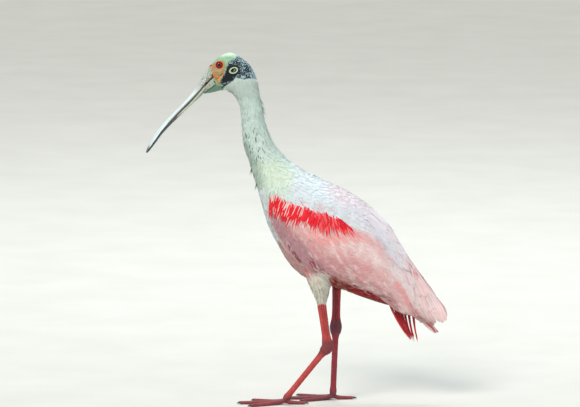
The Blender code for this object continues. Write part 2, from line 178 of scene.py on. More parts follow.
# (name, colour, strength, blur, outline), painted one over the other
AREAS = [
    ("white body", "#D5DBE0", 1.0, 26,
     [(-2, 410), (120, 360), (210, 260), (262, 130), (150, 90), (20, 190), (-20, 240), (-18, 300),
      (-14, 345)]),
    # painted shade: the front of the neck, down to its foot, is painted a darker grey-green
    ("painted shade on the front of the neck", "#9DB5A5", 0.7, 11,
     [(-104, 440), (-80, 428), (-63, 392), (-52, 362), (-66, 336), (-90, 372)]),
    ("neck base cream", "#D2DFC8", 0.6, 18,
     [(-64, 392), (-34, 402), (8, 374), (-20, 346), (-56, 352)]),
    ("cool white back", "#D8E4EA", 0.9, 24,
     [(-6, 380), (60, 366), (105, 344), (132, 316), (128, 292), (100, 300), (60, 318), (0, 342)]),
    ("lavender back", "#E4D7DD", 0.9, 30,
     [(50, 390), (112, 360), (150, 318), (190, 262), (170, 236), (128, 284), (84, 314), (50, 338)]),
    ("wing", "#E2B3B2", 1.0, 12,
     [(-48, 326), (-20, 326), (30, 312), (80, 290), (120, 276), (152, 246), (190, 232), (216, 184),
      (260, 130), (220, 90), (150, 100), (100, 160), (41, 196), (4, 224), (-26, 262), (-44, 294)]),
    ("carmine band", "#EC4A58", 0.9, 4,
     [(-45, 338), (-4, 325), (45, 308), (81, 291), (68, 288), (30, 296), (-10, 308), (-43, 322)]),
    ("wing's deeper rose", "#CC9496", 0.8, 20,
     [(6, 262), (20, 236), (52, 212), (104, 196), (128, 200), (104, 218), (70, 236), (44, 250), (24, 268)]),
    # painted highlight: a pale whitish pink where the light falls on the middle of the wing
    ("painted highlight on the wing", "#EDD6D3", 0.75, 16,
     [(68, 276), (96, 270), (136, 246), (158, 214), (126, 222), (94, 240)]),
    ("pale long feathers", "#E2D2D2", 0.9, 20,
     [(134, 262), (180, 250), (216, 190), (262, 130), (205, 128), (170, 160), (150, 200)]),
    # painted shade: mauve under the bend of the wing and down its fore edge
    ("painted mauve shade", "#B0848C", 0.9, 9,
     [(-48, 318), (-24, 306), (-6, 276), (10, 262), (30, 236), (60, 212), (50, 202), (24, 212), (2, 228),
      (-26, 262), (-44, 290)]),
    # painted shade: a darker rose along the folded wing's lower edge
    ("painted shade along the wing's lower edge", "#B98A8A", 0.7, 9,
     [(40, 222), (74, 212), (110, 200), (150, 182), (164, 160), (150, 150), (100, 186), (60, 202),
      (40, 208)]),
    ("breast strip", "#DCE5EA", 1.0, 5,
     [(-80, 360), (-52, 346), (-50, 318), (-43, 292), (-30, 268), (-20, 252), (-30, 240), (-60, 280)]),
    # painted shade: the lower breast's own rose is painted darker, as the shade of the underside
    ("lower breast in painted shade", "#CC9290", 0.9, 10,
     [(-30, 270), (-18, 252), (4, 230), (24, 216), (10, 196), (-20, 216), (-44, 250)]),
    # painted shade: the belly's own crimson is painted darker, as the shade under the body
    ("crimson belly in painted shade", "#96000A", 1.0, 5,
     [(28, 216), (56, 208), (94, 190), (120, 180), (146, 170), (158, 150), (170, 120), (120, 120),
      (60, 170), (36, 192)]),
    ("thigh down", "#D6D2C4", 1.0, 6,
     [(12, 200), (24, 210), (42, 214), (53, 207), (55, 176), (56, 150), (20, 150), (14, 180)]),
]
STROKES = [  # (colour, strength, reach, blur, points)
    ("#D6DCE9", 0.4, 3, 9, [(89, 322), (112, 300), (136, 268), (160, 236)]),
    ("#EE9C9A", 0.7, 4, 8, [(24, 280), (36, 268), (52, 266), (70, 272), (98, 274)]),
    ("#EB9694", 0.7, 3, 6, [(160, 196), (174, 172), (188, 152)]),
    ("#EE9A9C", 0.6, 2, 5, [(195, 209), (201, 192), (209, 174)]),
]


def outline_depth(x, h, outline):
    """How far each point is inside an outline, in millimetres; points outside are negative."""
    corners = np.array(outline, float)
    nearest = np.full(x.shape, 1e9)
    inside = np.zeros(x.shape, bool)
    for (ax, ay), (bx, by) in zip(corners, np.roll(corners, -1, axis=0)):
        dx, dy = bx - ax, by - ay
        along = np.clip(((x - ax) * dx + (h - ay) * dy) / (dx * dx + dy * dy), 0, 1)
        nearest = np.minimum(nearest, np.hypot(x - ax - along * dx, h - ay - along * dy))
        crosses = (ay > h) != (by > h)
        inside ^= crosses & (x < (h - ay) / (dy if dy else 1e-9) * dx + ax)
    return np.where(inside, nearest, -nearest)


def line_distance(x, h, points):
    """The distance of each point from a line of straight lengths, in millimetres."""
    nearest = np.full(x.shape, 1e9)
    for (ax, ay), (bx, by) in zip(points, points[1:]):
        dx, dy = bx - ax, by - ay
        along = np.clip(((x - ax) * dx + (h - ay) * dy) / (dx * dx + dy * dy), 0, 1)
        nearest = np.minimum(nearest, np.hypot(x - ax - along * dx, h - ay - along * dy))
    return nearest


def ease(low, high, value):
    """0 below low, 1 above high and a smooth rise between."""
    share = np.clip((value - low) / (high - low), 0, 1)
    return share * share * (3 - 2 * share)


# a turn about all three axes, so that the grid behind the random patches lines up with nothing
TURNED = np.array(Euler((0.6, 0.9, 0.4)).to_matrix())


def mottle(points, size, seed):
    """Smooth random shades from -1 to 1 in space, in patches of about that size."""
    table = np.random.default_rng(seed).uniform(-1, 1, 4096)
    cell = np.asarray(points) @ TURNED / size
    corner = np.floor(cell).astype(np.int64)
    part = cell - corner
    part = part * part * (3 - 2 * part)
    total = np.zeros(len(cell))
    for k in range(8):
        step = np.array([k & 1, k >> 1 & 1, k >> 2 & 1])
        spot = corner + step
        key = (spot[:, 0] * 73856093) ^ (spot[:, 1] * 19349663) ^ (spot[:, 2] * 83492791)
        weight = np.prod(np.where(step, part, 1 - part), axis=1)
        total += table[key & 4095] * weight
    return total


def blend(colours, code, share):
    """Paint a colour over others, by a share for each point."""
    share = share[:, None]
    return colours * (1 - share) + linear(code) * share


def drawn(points):
    """Where points in metres lie on the side drawing, in millimetres."""
    return points[:, 0] / MM, points[:, 2] / MM - np.abs(points[:, 1]) / MM * DRAWN_LOWER


def ear_reach(x, z):
    """How far a point is from the ear's middle, where 1 is on its rim."""
    dx = x - EAR_PLACE[0]
    dz = z - EAR_PLACE[1]
    along = dx * math.cos(EAR_TILT) + dz * math.sin(EAR_TILT)
    up = dz * math.cos(EAR_TILT) - dx * math.sin(EAR_TILT)
    return np.hypot(along / EAR_HALF[0], up / EAR_HALF[1])


BLACK_PATCH = [(-125, 529), (-121.6, 536.6), (-118, 542), (-116, 547), (-114.5, 552), (-113, 558),
               (-109, 561), (-104, 562.5), (-100, 567), (-98, 576), (-84, 572), (-68, 560), (-50, 542),
               (-50, 527), (-67, 528), (-80, 530), (-87, 528), (-94, 528.5), (-102, 530), (-107, 526),
               (-110, 523), (-115, 520), (-121, 519), (-126, 524)]
SOLID_BLACK = [(-114.7, 550.5), (-110.6, 556), (-103.8, 555), (-95.5, 552), (-92.8, 545), (-94.8, 539.4),
               (-103.8, 536), (-108.6, 528.3), (-121.6, 523.5), (-125, 529.7), (-117.5, 540.8)]
FACE_ORANGE = [(-143, 552.6), (-142, 546.5), (-139.4, 541), (-138, 535), (-136.7, 530.4), (-132.6, 527),
               (-130, 522.8), (-127, 522.8), (-124.3, 527), (-125, 530.4), (-121.6, 535.3), (-118.2, 541.5),
               (-117.5, 545), (-117.5, 552), (-121, 557), (-128, 559.5), (-135, 558.5), (-140, 556)]
THROAT_POUCH = [(-170, 496), (-160, 503), (-149, 511), (-134.5, 522), (-127, 521.5), (-121, 519.5),
                (-118, 514), (-133, 500), (-156, 492)]
FEATHERED_THROAT = [(-121, 514), (-117.5, 519.5), (-110.5, 524.5), (-105, 528), (-101, 533), (-93.5, 532),
                    (-86, 530), (-79, 532), (-66, 531), (-50, 528), (-40, 480), (-120, 480)]
GAPE = [(-158.6, 512.4), (-149.7, 521.4), (-142.9, 529), (-138, 533.2)]
JAW_PLATE = [(-170, 497), (-158.6, 510.5), (-149.7, 519.8), (-142.9, 527.4), (-139.5, 530.6), (-135, 526.5),
             (-134.6, 523), (-149, 510), (-160, 501)]
NOSTRIL = (-140.8, 553.3)
NOSTRIL_HALF = (1.7, 0.9)

# (colour, strength, reach, blur, points) of fine marks on the face
FACE_LINES = [
    ("#CF7434", 0.9, 0.9, 1.4, [(-134, 542.6), (-135.6, 540.8), (-135, 536.8), (-131, 534.4), (-127, 534)]),
    ("#CF7434", 0.7, 0.5, 1.2, [(-134, 542.6), (-130, 543.2), (-126, 542), (-121, 541.5)]),
    ("#E0A04A", 0.9, 0.9, 1.6, [(-120, 540), (-124.3, 534.8), (-128, 530.5), (-127, 526.5)]),
    ("#4A2C20", 0.85, 0.3, 1.0, [(-127.2, 536), (-124.4, 537), (-121.6, 540.2)]),
    ("#8A4A2A", 0.6, 0.2, 1.0, [(-133, 531.5), (-130, 531.8), (-127.4, 533)]),
    ("#8D9C88", 0.7, 1.0, 1.6, [(-133.5, 546.5), (-129, 545.5), (-125, 544.6)]),
    ("#10181E", 0.95, 0.5, 1.1, [(-139.2, 538.6), (-137.4, 534)]),
    ("#1B2A38", 0.85, 0.5, 1.1, [(-135.6, 527.3), (-133.9, 524.2)]),
    ("#1A2622", 0.85, 0.6, 1.2, [(-123, 517.3), (-118.8, 520), (-113.4, 524.2)]),
    ("#2F4A40", 0.85, 0.4, 1.2, [(-160, 502), (-149, 510.5), (-134, 521.5)]),
    ("#6A3A2C", 0.7, 0.5, 1.0, [(-158.6, 514.6), (-149.7, 523.6), (-142.9, 531.2), (-139, 535)]),
    ("#05090C", 1.0, 0.5, 0.8, GAPE),
]


def beside_eye(points):
    """How far each point is from its side's eye axis, and how far out along it, in millimetres."""
    offset = points / MM * (1, 0, 1) + np.abs(points) / MM * (0, 1, 0) - EYE_PLACE
    out = offset @ EYE_AXIS
    return np.linalg.norm(offset - out[:, None] * EYE_AXIS, axis=1), out


def head_markings(points, colours):
    """The bare head: a pale green crown, an orange face, a black patch round the ear and a grey pouch."""
    x, h = drawn(points)
    wander = 1.3 * mottle(points, 3 * MM, 11)
    flecks = mottle(points, 1.5 * MM, 12) + 0.8 * mottle(points, 0.8 * MM, 13)
    blotches = mottle(points, 2.6 * MM, 14) + 0.6 * mottle(points, 1.2 * MM, 15)
    head = np.clip(ease(500, 512, h) * ease(-52, -66, x), 0, 1)
    colours = blend(colours, "#86AE8E", head)
    colours = blend(colours, "#B9BE96", head * ease(0.0, 1.0, blotches) * ease(-104, -116, x) * 0.6)
    # painted highlight: the top of the crown is painted paler, as the light on it
    colours = blend(colours, "#CFE2CE", head * ease(565, 573, h) * 0.7)
    muzzle = head * ease(-132, -141, x + 0.8 * (h - 553) * (h > 553))
    colours = blend(colours, "#A6AC9C", muzzle * 0.9)
    colours = blend(colours, "#D2DAD0", muzzle * ease(0.1, 0.7, flecks) * 0.8)
    colours = blend(colours, "#34463F", muzzle * ease(-0.45, -0.8, flecks) * 0.8)
    colours = blend(colours, "#6C8A76", ease(-1.5, 2, outline_depth(x, h, THROAT_POUCH) + wander))
    plate = ease(-1.0, 0.8, outline_depth(x, h, JAW_PLATE) + 0.3 * wander)
    colours = blend(colours, "#B4BCAA", plate)
    colours = blend(colours, "#3A4A44", plate * ease(0.45, 0.8, flecks) * 0.85)
    orange = ease(-2.0, 2.5, outline_depth(x, h, FACE_ORANGE) + 1.8 * wander)
    colours = blend(colours, "#A3743E", head * orange * (0.65 + 0.35 * blotches.clip(-1, 1)))
    for code, strength, reach, blur, line in FACE_LINES:
        gap = line_distance(x, h, line) + 0.25 * wander
        colours = blend(colours, code, head * strength * ease(reach + blur, reach, gap))
    nostril = np.hypot((x - NOSTRIL[0]) / NOSTRIL_HALF[0], (h - NOSTRIL[1]) / NOSTRIL_HALF[1])
    colours = blend(colours, "#C98A4E", head * ease(2.6, 1.8, nostril) * 0.8)
    colours = blend(colours, "#5A1E34", head * ease(1.3, 0.8, nostril))
    across, out = beside_eye(points)
    near_eye = head * ease(2, 4, out)
    colours = blend(colours, "#B98A50", near_eye * ease(9.0, 7.6, across + 0.5 * wander) * 0.85)
    colours = blend(colours, "#D97F38", near_eye * ease(7.2, 6.4, across + 0.2 * wander) * 0.9)
    colours = blend(colours, "#12090C", near_eye * ease(5.95, 5.65, across))
    patch = outline_depth(x, h, BLACK_PATCH)
    black = ease(-1.2, 1.0, patch + 0.9 * wander + 1.3 * flecks)
    outside = -outline_depth(x, h, SOLID_BLACK)
    level = ease(-2, 3, outside + wander) * 0.5 + ease(10, 28, outside) * 0.45
    pale = ease(0.5 - level, 1.1 - level, flecks) * ease(-2.5, 0.5, outside + wander)
    colours = blend(colours, "#0C1820", black)
    colours = blend(colours, "#A9C8D0", black * pale * 0.9)
    white = ease(-1.2, 1.2, outline_depth(x, h, FEATHERED_THROAT) + 0.5 * wander)
    colours = blend(colours, "#C8D6CE", white)
    reach = ear_reach(x, points[:, 2] / MM)
    colours = blend(colours, "#C9D8B4", ease(1.26, 1.12, reach + 0.05 * wander))
    colours = blend(colours, "#0A1114", ease(0.86, 0.72, reach))
    return blend(colours, "#8FA39A", ease(1.4, 0.5, line_distance(x, points[:, 2] / MM, EAR_FOLD)) * 0.8)


def markings(points):
    """The colour of the bird at each point, as linear red, green and blue."""
    x, h = drawn(points)
    colours = np.tile(linear(NECK_WHITE), (len(points), 1))
    drift = mottle(points, 9 * MM, 5)
    for _, code, strength, blur, outline in AREAS:
        share = strength * ease(-blur / 2, blur / 2, outline_depth(x, h, outline) + drift * blur / 4)
        colours = blend(colours, code, share)
    for code, strength, reach, blur, line in STROKES:
        colours = blend(colours, code, strength * ease(reach + blur, reach, line_distance(x, h, line)))
    head = (h > 498) & (x < -48)
    if head.any():
        colours[head] = head_markings(points[head], colours[head])
    return colours


# ------------------------------------------------------------------------------------------------
# Skin. One closed skin covers the head, neck, body, thighs and legs, cast as one piece of tinted
# silicone. It lies under the plumage by the feathers' depth and is bare on the head and legs.
# ------------------------------------------------------------------------------------------------
BODY_NODES = ["neck_upper", "neck_lower", "trunk", "wing_left", "wing_right", "thigh_left", "thigh_right"]
LEG_PIECES = ["shin", "ankle", "tarsus", "foot"]
HEAD_GRAIN = 0.6  # size of the skin mesh's faces
BODY_GRAIN = 3.0
LEG_GRAIN = 0.85
PLUMAGE_DEPTH = 2.4  # from the feather tips down to the skin, on the body
DOWN_DEPTH = 2.0  # the same on the neck and the thighs
LID_HALF = 5.85  # from the eye's axis to the middle of the lids' rim
LID_OUT = 5.1  # from the eyeball's middle out to the rim
BEAD = 0.62  # half the rim's thickness
BEAD_TURNS = 96
BEAD_SIDES = 12
FACE_EDGE = [(-142, 556), (-152.5, 506)]  # (x, z), where the skin ends and the bill begins
# lines of the face's relief, on the side drawing
BROW = [(-141, 559), (-133, 564.5), (-122, 564), (-116, 558)]
THROAT_FOLD = [(-150, 500), (-118, 512), (-100, 515)]
RAISED_FOLDS = FACE_LINES[:2]
EYE_CREASE = FACE_LINES[3][4]
FACE_FRONT = -140.0  # x
MEET_REACH = 1.3  # how near the bill the skin has to be to run into it
MEET_DEPTH = 1.2
NOISE_SPAN = {"From Min": 0.3, "From Max": 0.7}  # where most of a noise's values lie
WING_BONE_END = 168.0  # x behind which the wings are feathers only
CLAW_RING = 8  # points in each ring of a claw's solid
SCALE_SIZE = 2.2  # of the leg's horny scales, drawn coarser than life's so that they show


def make_mesh(name, points, loops, sizes):
    """A mesh from points in metres, and faces given as one run of corners and a corner count for each."""
    mesh = bpy.data.meshes.new(name)
    mesh.vertices.add(len(points))
    mesh.vertices.foreach_set("co", np.asarray(points, np.float32).ravel())
    mesh.loops.add(len(loops))
    mesh.loops.foreach_set("vertex_index", np.asarray(loops, np.int32))
    mesh.polygons.add(len(sizes))
    starts = np.concatenate([[0], np.cumsum(sizes)[:-1]])
    mesh.polygons.foreach_set("loop_start", starts.astype(np.int32))
    mesh.update(calc_edges=True)
    mesh.polygons.foreach_set("use_smooth", np.ones(len(sizes), bool))
    return mesh


def add_piece(name, mesh, material):
    mesh.materials.append(material)
    piece = bpy.data.objects.new(name, mesh)
    SCENE.collection.objects.link(piece)
    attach(piece, "root")
    return piece


def mesh_points(mesh):
    points = np.zeros(len(mesh.vertices) * 3, np.float32)
    mesh.vertices.foreach_get("co", points)
    return points.reshape(-1, 3).astype(float)


def mesh_quads(mesh):
    """The corners of each face of an all-quad mesh."""
    corners = np.zeros(len(mesh.loops), np.int32)
    mesh.loops.foreach_get("vertex_index", corners)
    return corners.reshape(-1, 4)


def normals_of(points, quads):
    """Smooth outward normals of a quad mesh."""
    across = np.cross(points[quads[:, 2]] - points[quads[:, 0]], points[quads[:, 3]] - points[quads[:, 1]])
    total = np.zeros_like(points)
    for axis in range(3):
        for corner in range(4):
            total[:, axis] += np.bincount(quads[:, corner], across[:, axis], len(points))
    return total / np.maximum(np.linalg.norm(total, axis=1, keepdims=True), 1e-12)


def relax(points, quads, passes):
    """Even out a quad mesh without shrinking it."""
    edges = np.concatenate([quads[:, [0, 1]], quads[:, [1, 2]], quads[:, [2, 3]], quads[:, [3, 0]]])
    count = np.bincount(edges.ravel(), minlength=len(points))
    for step in range(2 * passes):
        mean = np.zeros_like(points)
        for axis in range(3):
            mean[:, axis] = np.bincount(edges[:, 0], points[edges[:, 1], axis], len(points))
            mean[:, axis] += np.bincount(edges[:, 1], points[edges[:, 0], axis], len(points))
        mean /= count[:, None]
        points = points + (mean - points) * (0.5 if step % 2 == 0 else -0.52)
    return points


def merged(solids, grain):
    """One closed quad shell round several closed solids, given as (points, faces)."""
    points = []
    faces = []
    for solid_points, solid_faces in solids:
        faces += [[len(points) + k for k in face] for face in solid_faces]
        points += [tuple(point) for point in solid_points]
    mesh = bpy.data.meshes.new("merged")
    mesh.from_pydata(points, [], faces)
    thing = bpy.data.objects.new("merged", mesh)
    SCENE.collection.objects.link(thing)
    remesh = thing.modifiers.new("remesh", "REMESH")
    remesh.mode = "VOXEL"
    remesh.voxel_size = grain * MM
    graph = bpy.context.evaluated_depsgraph_get()
    shell = bpy.data.meshes.new_from_object(thing.evaluated_get(graph))
    bpy.data.objects.remove(thing)
    return mesh_points(shell), mesh_quads(shell)


def solid_of(node):
    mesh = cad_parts[node].data
    return mesh_points(mesh), [list(face.vertices) for face in mesh.polygons]


def unit(vectors):
    return vectors / np.maximum(np.linalg.norm(vectors, axis=-1, keepdims=True), 1e-12)


def tube(path, radii):
    """A closed tube through points in millimetres."""
    sides = 16
    points = []
    for k, (centre, radius) in enumerate(zip(path, radii)):
        along = np.subtract(path[min(k + 1, len(path) - 1)], path[max(k - 1, 0)])
        along = along / np.linalg.norm(along)
        side = np.cross(along, (0, 1, 0))
        side /= np.linalg.norm(side)
        other = np.cross(along, side)
        for turn in range(sides):
            angle = math.tau * turn / sides
            out = side * math.cos(angle) + other * math.sin(angle)
            points.append((np.array(centre) + radius * out) * MM)
    faces = [list(range(sides))[::-1], [(len(path) - 1) * sides + k for k in range(sides)]]
    for row in range(len(path) - 1):
        here = row * sides
        for k in range(sides):
            after = (k + 1) % sides
            faces.append([here + k, here + after, here + sides + after, here + sides + k])
    return points, faces


def head_shell():
    """The bare head with its lids, brow, ears, gape and loose throat, and the upper neck."""
    solids = [solid_of(node) for node in ("head", "neck_upper", "eye_left", "eye_right")]
    points, quads = merged(solids, HEAD_GRAIN)
    points = relax(points, quads, 18)
    normals = normals_of(points, quads)
    x, h = drawn(points)
    z = points[:, 2] / MM
    beside = ease(4, 8, np.abs(points[:, 1]) / MM)
    lift = np.zeros(len(points))

    folds = np.sin(line_distance(x, h, THROAT_FOLD) / 1.1 + 1.5 * mottle(points, 7 * MM, 3))
    lift += 0.3 * folds * ease(-2, 4, outline_depth(x, h, THROAT_POUCH))
    lift += 0.28 * mottle(points, 2.2 * MM, 21) + 0.14 * mottle(points, 1.1 * MM, 22)
    lift += 0.9 * beside * ease(4.5, 0.5, line_distance(x, h, BROW))
    lift -= 1.3 * beside * ease(1.7, 0.3, line_distance(x, h, GAPE))
    lift += 0.5 * beside * ease(4.0, 1.0, line_distance(x, h + 3.4, GAPE))
    for _, strength, _, _, line in RAISED_FOLDS:
        lift += 0.5 * beside * strength * ease(2.2, 0.3, line_distance(x, h, line))
    lift -= 0.7 * beside * ease(1.4, 0.2, line_distance(x, h, EYE_CREASE))
    nostril = np.hypot((x - NOSTRIL[0]) / NOSTRIL_HALF[0], (h - NOSTRIL[1]) / NOSTRIL_HALF[1])
    lift -= 0.9 * beside * ease(1.2, 0.5, nostril)
    lift += 0.45 * ease(6.0, 1.0, line_distance(x, z, FACE_EDGE))
    reach = ear_reach(x, z)
    lift += beside * (1.3 * np.exp(-(((reach - 1.0) / 0.16) ** 2)) - 2.4 * ease(0.86, 0.6, reach))
    lift += beside * 1.3 * ease(1.5, 0.4, line_distance(x, z, EAR_FOLD))
    lift -= ease(492, 470, z) * 1.4 + ease(-1, 4, outline_depth(x, h, FEATHERED_THROAT)) * 1.0
    points = points + normals * (lift * MM)[:, None]

    # the lids run in from the face to the eyeball, and the opening between them drops away behind it
    across, out = beside_eye(points)
    wrinkles = 0.22 * np.cos((across - LID_HALF) * math.tau / 1.3) * ease(10, 7.5, across)
    lid = LID_OUT + (out - LID_OUT) * ease(LID_HALF, LID_HALF + 4.5, across) + wrinkles
    target = np.where(across < LID_HALF, out - 4.5, lid)
    shift = np.where((across < 11) & (out > 1.5), target - out, 0.0)
    aim = EYE_AXIS * np.where(points[:, 1:2] < 0, -1, 1) ** np.array([0, 1, 0])
    return meet_bill(points + aim * (shift * MM)[:, None]), quads


def meet_bill(points):
    """Run the skin's front edge a little way into the bill, so that no gap shows round the root."""
    bill = [BVHTree.FromPolygons(*solid_of(node)) for node in ("bill_upper", "bill_lower")]
    for k in np.flatnonzero(points[:, 0] < FACE_FRONT * MM):
        spot, normal, _, gap = min((tree.find_nearest(points[k]) for tree in bill), key=lambda hit: hit[3])
        if gap < MEET_REACH * MM:
            points[k] = np.array(spot) - np.array(normal) * MEET_DEPTH * MM
    return points


def eye_frame(side):
    """The way one eye looks, and two ways square to it."""
    axis = EYE_AXIS * (1, side, 1)
    up = np.cross(axis, (1, 0, 0))
    up /= np.linalg.norm(up)
    return axis, up, np.cross(up, axis)


def lid_bead(side):
    """The smooth, thickened rim of the lids round one eye, as a closed ring."""
    axis, up, ahead = eye_frame(side)
    points = []
    for k in range(BEAD_TURNS):
        turn = math.tau * k / BEAD_TURNS
        way = ahead * math.cos(turn) + up * math.sin(turn)
        for j in range(BEAD_SIDES):
            angle = math.tau * j / BEAD_SIDES
            reach = LID_HALF + BEAD * math.cos(angle)
            rise = LID_OUT - 0.1 + BEAD * math.sin(angle)
            points.append((EYE_PLACE * (1, side, 1) + way * reach + axis * rise) * MM)
    count = len(points)
    quads = []
    for k in range(BEAD_TURNS):
        for j in range(BEAD_SIDES):
            here = k * BEAD_SIDES
            beyond = (j + 1) % BEAD_SIDES
            ring = [here + j, here + BEAD_SIDES + j, here + BEAD_SIDES + beyond, here + beyond]
            quads.append([corner % count for corner in ring])
    return np.array(points), np.array(quads)


def body_shell():
    """The body, the necks and thighs, drawn in by the depth of their plumage."""
    points, quads = merged([solid_of("head")] + [solid_of(node) for node in BODY_NODES], BODY_GRAIN)
    points = relax(points, quads, 4)
    x = points[:, 0] / MM
    z = points[:, 2] / MM
    # the neck above and the thighs below carry shorter feathers
    slim = np.maximum(ease(380, 400, z), ease(206, 194, z) * ease(76, 66, x))
    depth = PLUMAGE_DEPTH + (DOWN_DEPTH - PLUMAGE_DEPTH) * slim + 2.4 * ease(500, 510, z)
    points = points - normals_of(points, quads) * (depth * MM)[:, None]
    return relax(points, quads, 2), quads


def scale_cells(points, size, seed):
    """How deep inside its own scale each point lies: 0 on a groove, about 1 in a scale's middle."""
    rng = np.random.default_rng(seed)
    order = rng.permutation(len(points))
    taken = set()
    seeds = []
    for k in order:
        key = tuple(np.floor(points[k] / (size * MM * 0.95)).astype(int))
        if key not in taken:
            taken.add(key)
            seeds.append(points[k])
    tree = KDTree(len(seeds))
    for k, spot in enumerate(seeds):
        tree.insert(spot, k)
    tree.balance()
    gap = np.zeros(len(points))
    for k, point in enumerate(points):
        (_, _, near), (_, _, next_near) = tree.find_n(point, 2)
        gap[k] = next_near - near
    return np.clip(gap / (size * MM * 0.55), 0, 1)


def toe_sleeves(word):
    """A short sleeve of skin at the end of each toe, which holds the root of the claw."""
    low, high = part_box("tarsus_" + word)
    ball = (LEG_LINES[word][-1][0], (low.y + high.y) / 2 / MM)
    sleeves = []
    for toe in ("middle", "outer", "inner", "hind"):
        points = np.unique(np.round(solid_of("claw_" + toe + "_" + word)[0] / MM, 2), axis=0)
        outward = np.argsort(np.linalg.norm(points[:, :2] - ball, axis=1))
        rim = points[outward[:CLAW_RING]]
        root = rim.mean(axis=0)
        ahead = unit(points[outward[CLAW_RING : 2 * CLAW_RING]].mean(axis=0) - root)
        half = np.ptp(rim @ (-ahead[1], ahead[0], 0)) / 2
        sleeves.append(tube([root - ahead * 6, root - ahead, root + ahead * 1.8],
                            [half * 1.1, half * 1.22, half * 1.08]))
    return sleeves


def leg_shell(word):
    """One leg from inside the thigh to the toes, with horny scales."""
    low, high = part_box("shin_" + word)
    top = (high.x / MM - 16.5, (low.y + high.y) / 2 / MM, high.z / MM)
    if word == "right":
        thigh_low, thigh_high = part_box("thigh_right")
        top = (thigh_low.x / MM + 13, (thigh_low.y + thigh_high.y) / 2 / MM, top[2])
    hip = (top[0] - 2, top[1] * 0.9, top[2] + 34)
    under = (top[0] + 0.6, top[1], top[2] - 7)
    solids = [solid_of(piece + "_" + word) for piece in LEG_PIECES]
    solids.append(tube([under, top, hip], [6.0, 6.9, 11.5]))
    solids += toe_sleeves(word)
    points, quads = merged(solids, LEG_GRAIN)
    points = relax(points, quads, 5)
    cells = scale_cells(points, SCALE_SIZE, 31)
    bare = ease(high.z / MM + 4, high.z / MM - 4, points[:, 2] / MM) * ease(0.6, 2.0, points[:, 2] / MM)
    lift = (0.3 * ease(0.05, 0.5, cells) - 0.2) * bare
    points = points + normals_of(points, quads) * (lift * MM)[:, None]
    points[:, 2] = np.maximum(points[:, 2], 0)
    return points, quads


def shell_object(name, points, quads):
    mesh = make_mesh(name, points, quads.ravel(), np.full(len(quads), 4))
    thing = bpy.data.objects.new(name, mesh)
    SCENE.collection.objects.link(thing)
    return thing


def carve(thing, other, operation):
    """Apply a boolean between two closed shells and remove the second."""
    cut = thing.modifiers.new("cut", "BOOLEAN")
    cut.operation = operation
    cut.solver = "MANIFOLD"
    cut.object = other
    graph = bpy.context.evaluated_depsgraph_get()
    mesh = bpy.data.meshes.new_from_object(thing.evaluated_get(graph))
    thing.modifiers.clear()
    thing.data = mesh
    bpy.data.objects.remove(other)


def rear_block():
    """The block that takes the skin off behind the bones of the folded wings."""
    near = WING_BONE_END * MM
    far = near + 200 * MM
    side = 120 * MM
    top = 400 * MM
    corners = [(near, -side, 0), (far, -side, 0), (far, side, 0), (near, side, 0),
               (near, -side, top), (far, -side, top), (far, side, top), (near, side, top)]
    quads = np.array([(3, 2, 1, 0), (4, 5, 6, 7), (0, 1, 5, 4), (1, 2, 6, 5), (2, 3, 7, 6), (3, 0, 4, 7)])
    return shell_object("rear_block", np.array(corners), quads)


LEG_CORAL = "#BC4642"
LEG_GROOVE = "#96303A"
FAR_LEG_MAROON_SHADE = "#8C343F"
ANKLE_DARK = "#553840"
# (x, z) down the middle of each leg, from the thigh to the ball of the foot
LEG_LINES = {"left": [(38, 170), (49, 95), (2, 18)], "right": [(62, 190), (63, 120), (61, 20)]}


def behind_leg(points, line):
    """How far back of a leg's middle each point lies, in millimetres."""
    z = points[:, 2] / MM
    heights = [spot[1] for spot in line][::-1]
    places = [spot[0] for spot in line][::-1]
    return points[:, 0] / MM - np.interp(z, heights, places)


def leg_markings(points):
    """Coral legs with a dark line down the outside, dark ankles and greyish toes. The far leg is painted
    maroon as painted shade, with a coral rear edge left as a painted highlight, and its ankle darker.
    """
    z = points[:, 2] / MM
    left = points[:, 1] < 0
    colours = np.tile(linear(LEG_CORAL), (len(points), 1))
    edge_wobble = mottle(points * (1, 1, 0.25), 3 * MM, 43)
    for word, mask in (("left", left), ("right", ~left)):
        behind = behind_leg(points, LEG_LINES[word])
        low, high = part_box("ankle_" + word)
        middle = (low.z + high.z) / 2 / MM
        # painted shade: the far, right leg is painted maroon, but a coral stripe down its rear edge is kept
        # as a painted highlight
        if word == "right":
            colours = blend(colours, FAR_LEG_MAROON_SHADE, mask * ease(4.2, 2.2, behind + edge_wobble) * 0.9)
        for place in (-0.4, 2.6):
            line = ease(1.1, 0.2, np.abs(behind - place + 0.6 * edge_wobble)) * ease(middle, middle + 8, z)
            colours = blend(colours, "#5A1A28", mask * line * 0.75)
        # dark ankles; the far one is painted darker still as painted shade
        knob = ease(16, 7, np.abs(z - middle) + 2 * edge_wobble) * mask
        colours = blend(colours, ANKLE_DARK, knob * (0.75 if word == "left" else 0.95))
    cells = scale_cells(points, SCALE_SIZE, 31)
    colours = blend(colours, LEG_GROOVE, 0.55 * ease(0.35, 0.05, cells))
    colours = blend(colours, "#6E3A40", ease(22, 10, z) * 0.75)
    spots = mottle(points, 4 * MM, 41) + 0.6 * mottle(points, 1.6 * MM, 42)
    return colours * (1 + 0.16 * spots)[:, None]


def paint(mesh, colours):
    """Keep a colour for each point of a mesh, as the attribute that the materials read."""
    attribute = mesh.color_attributes.new("tint", "FLOAT_COLOR", "POINT")
    full = np.ones((len(colours), 4), np.float32)
    full[:, :3] = np.clip(colours, 0, 1)
    attribute.data.foreach_set("color", full.ravel())
    mesh.color_attributes.active_color = attribute


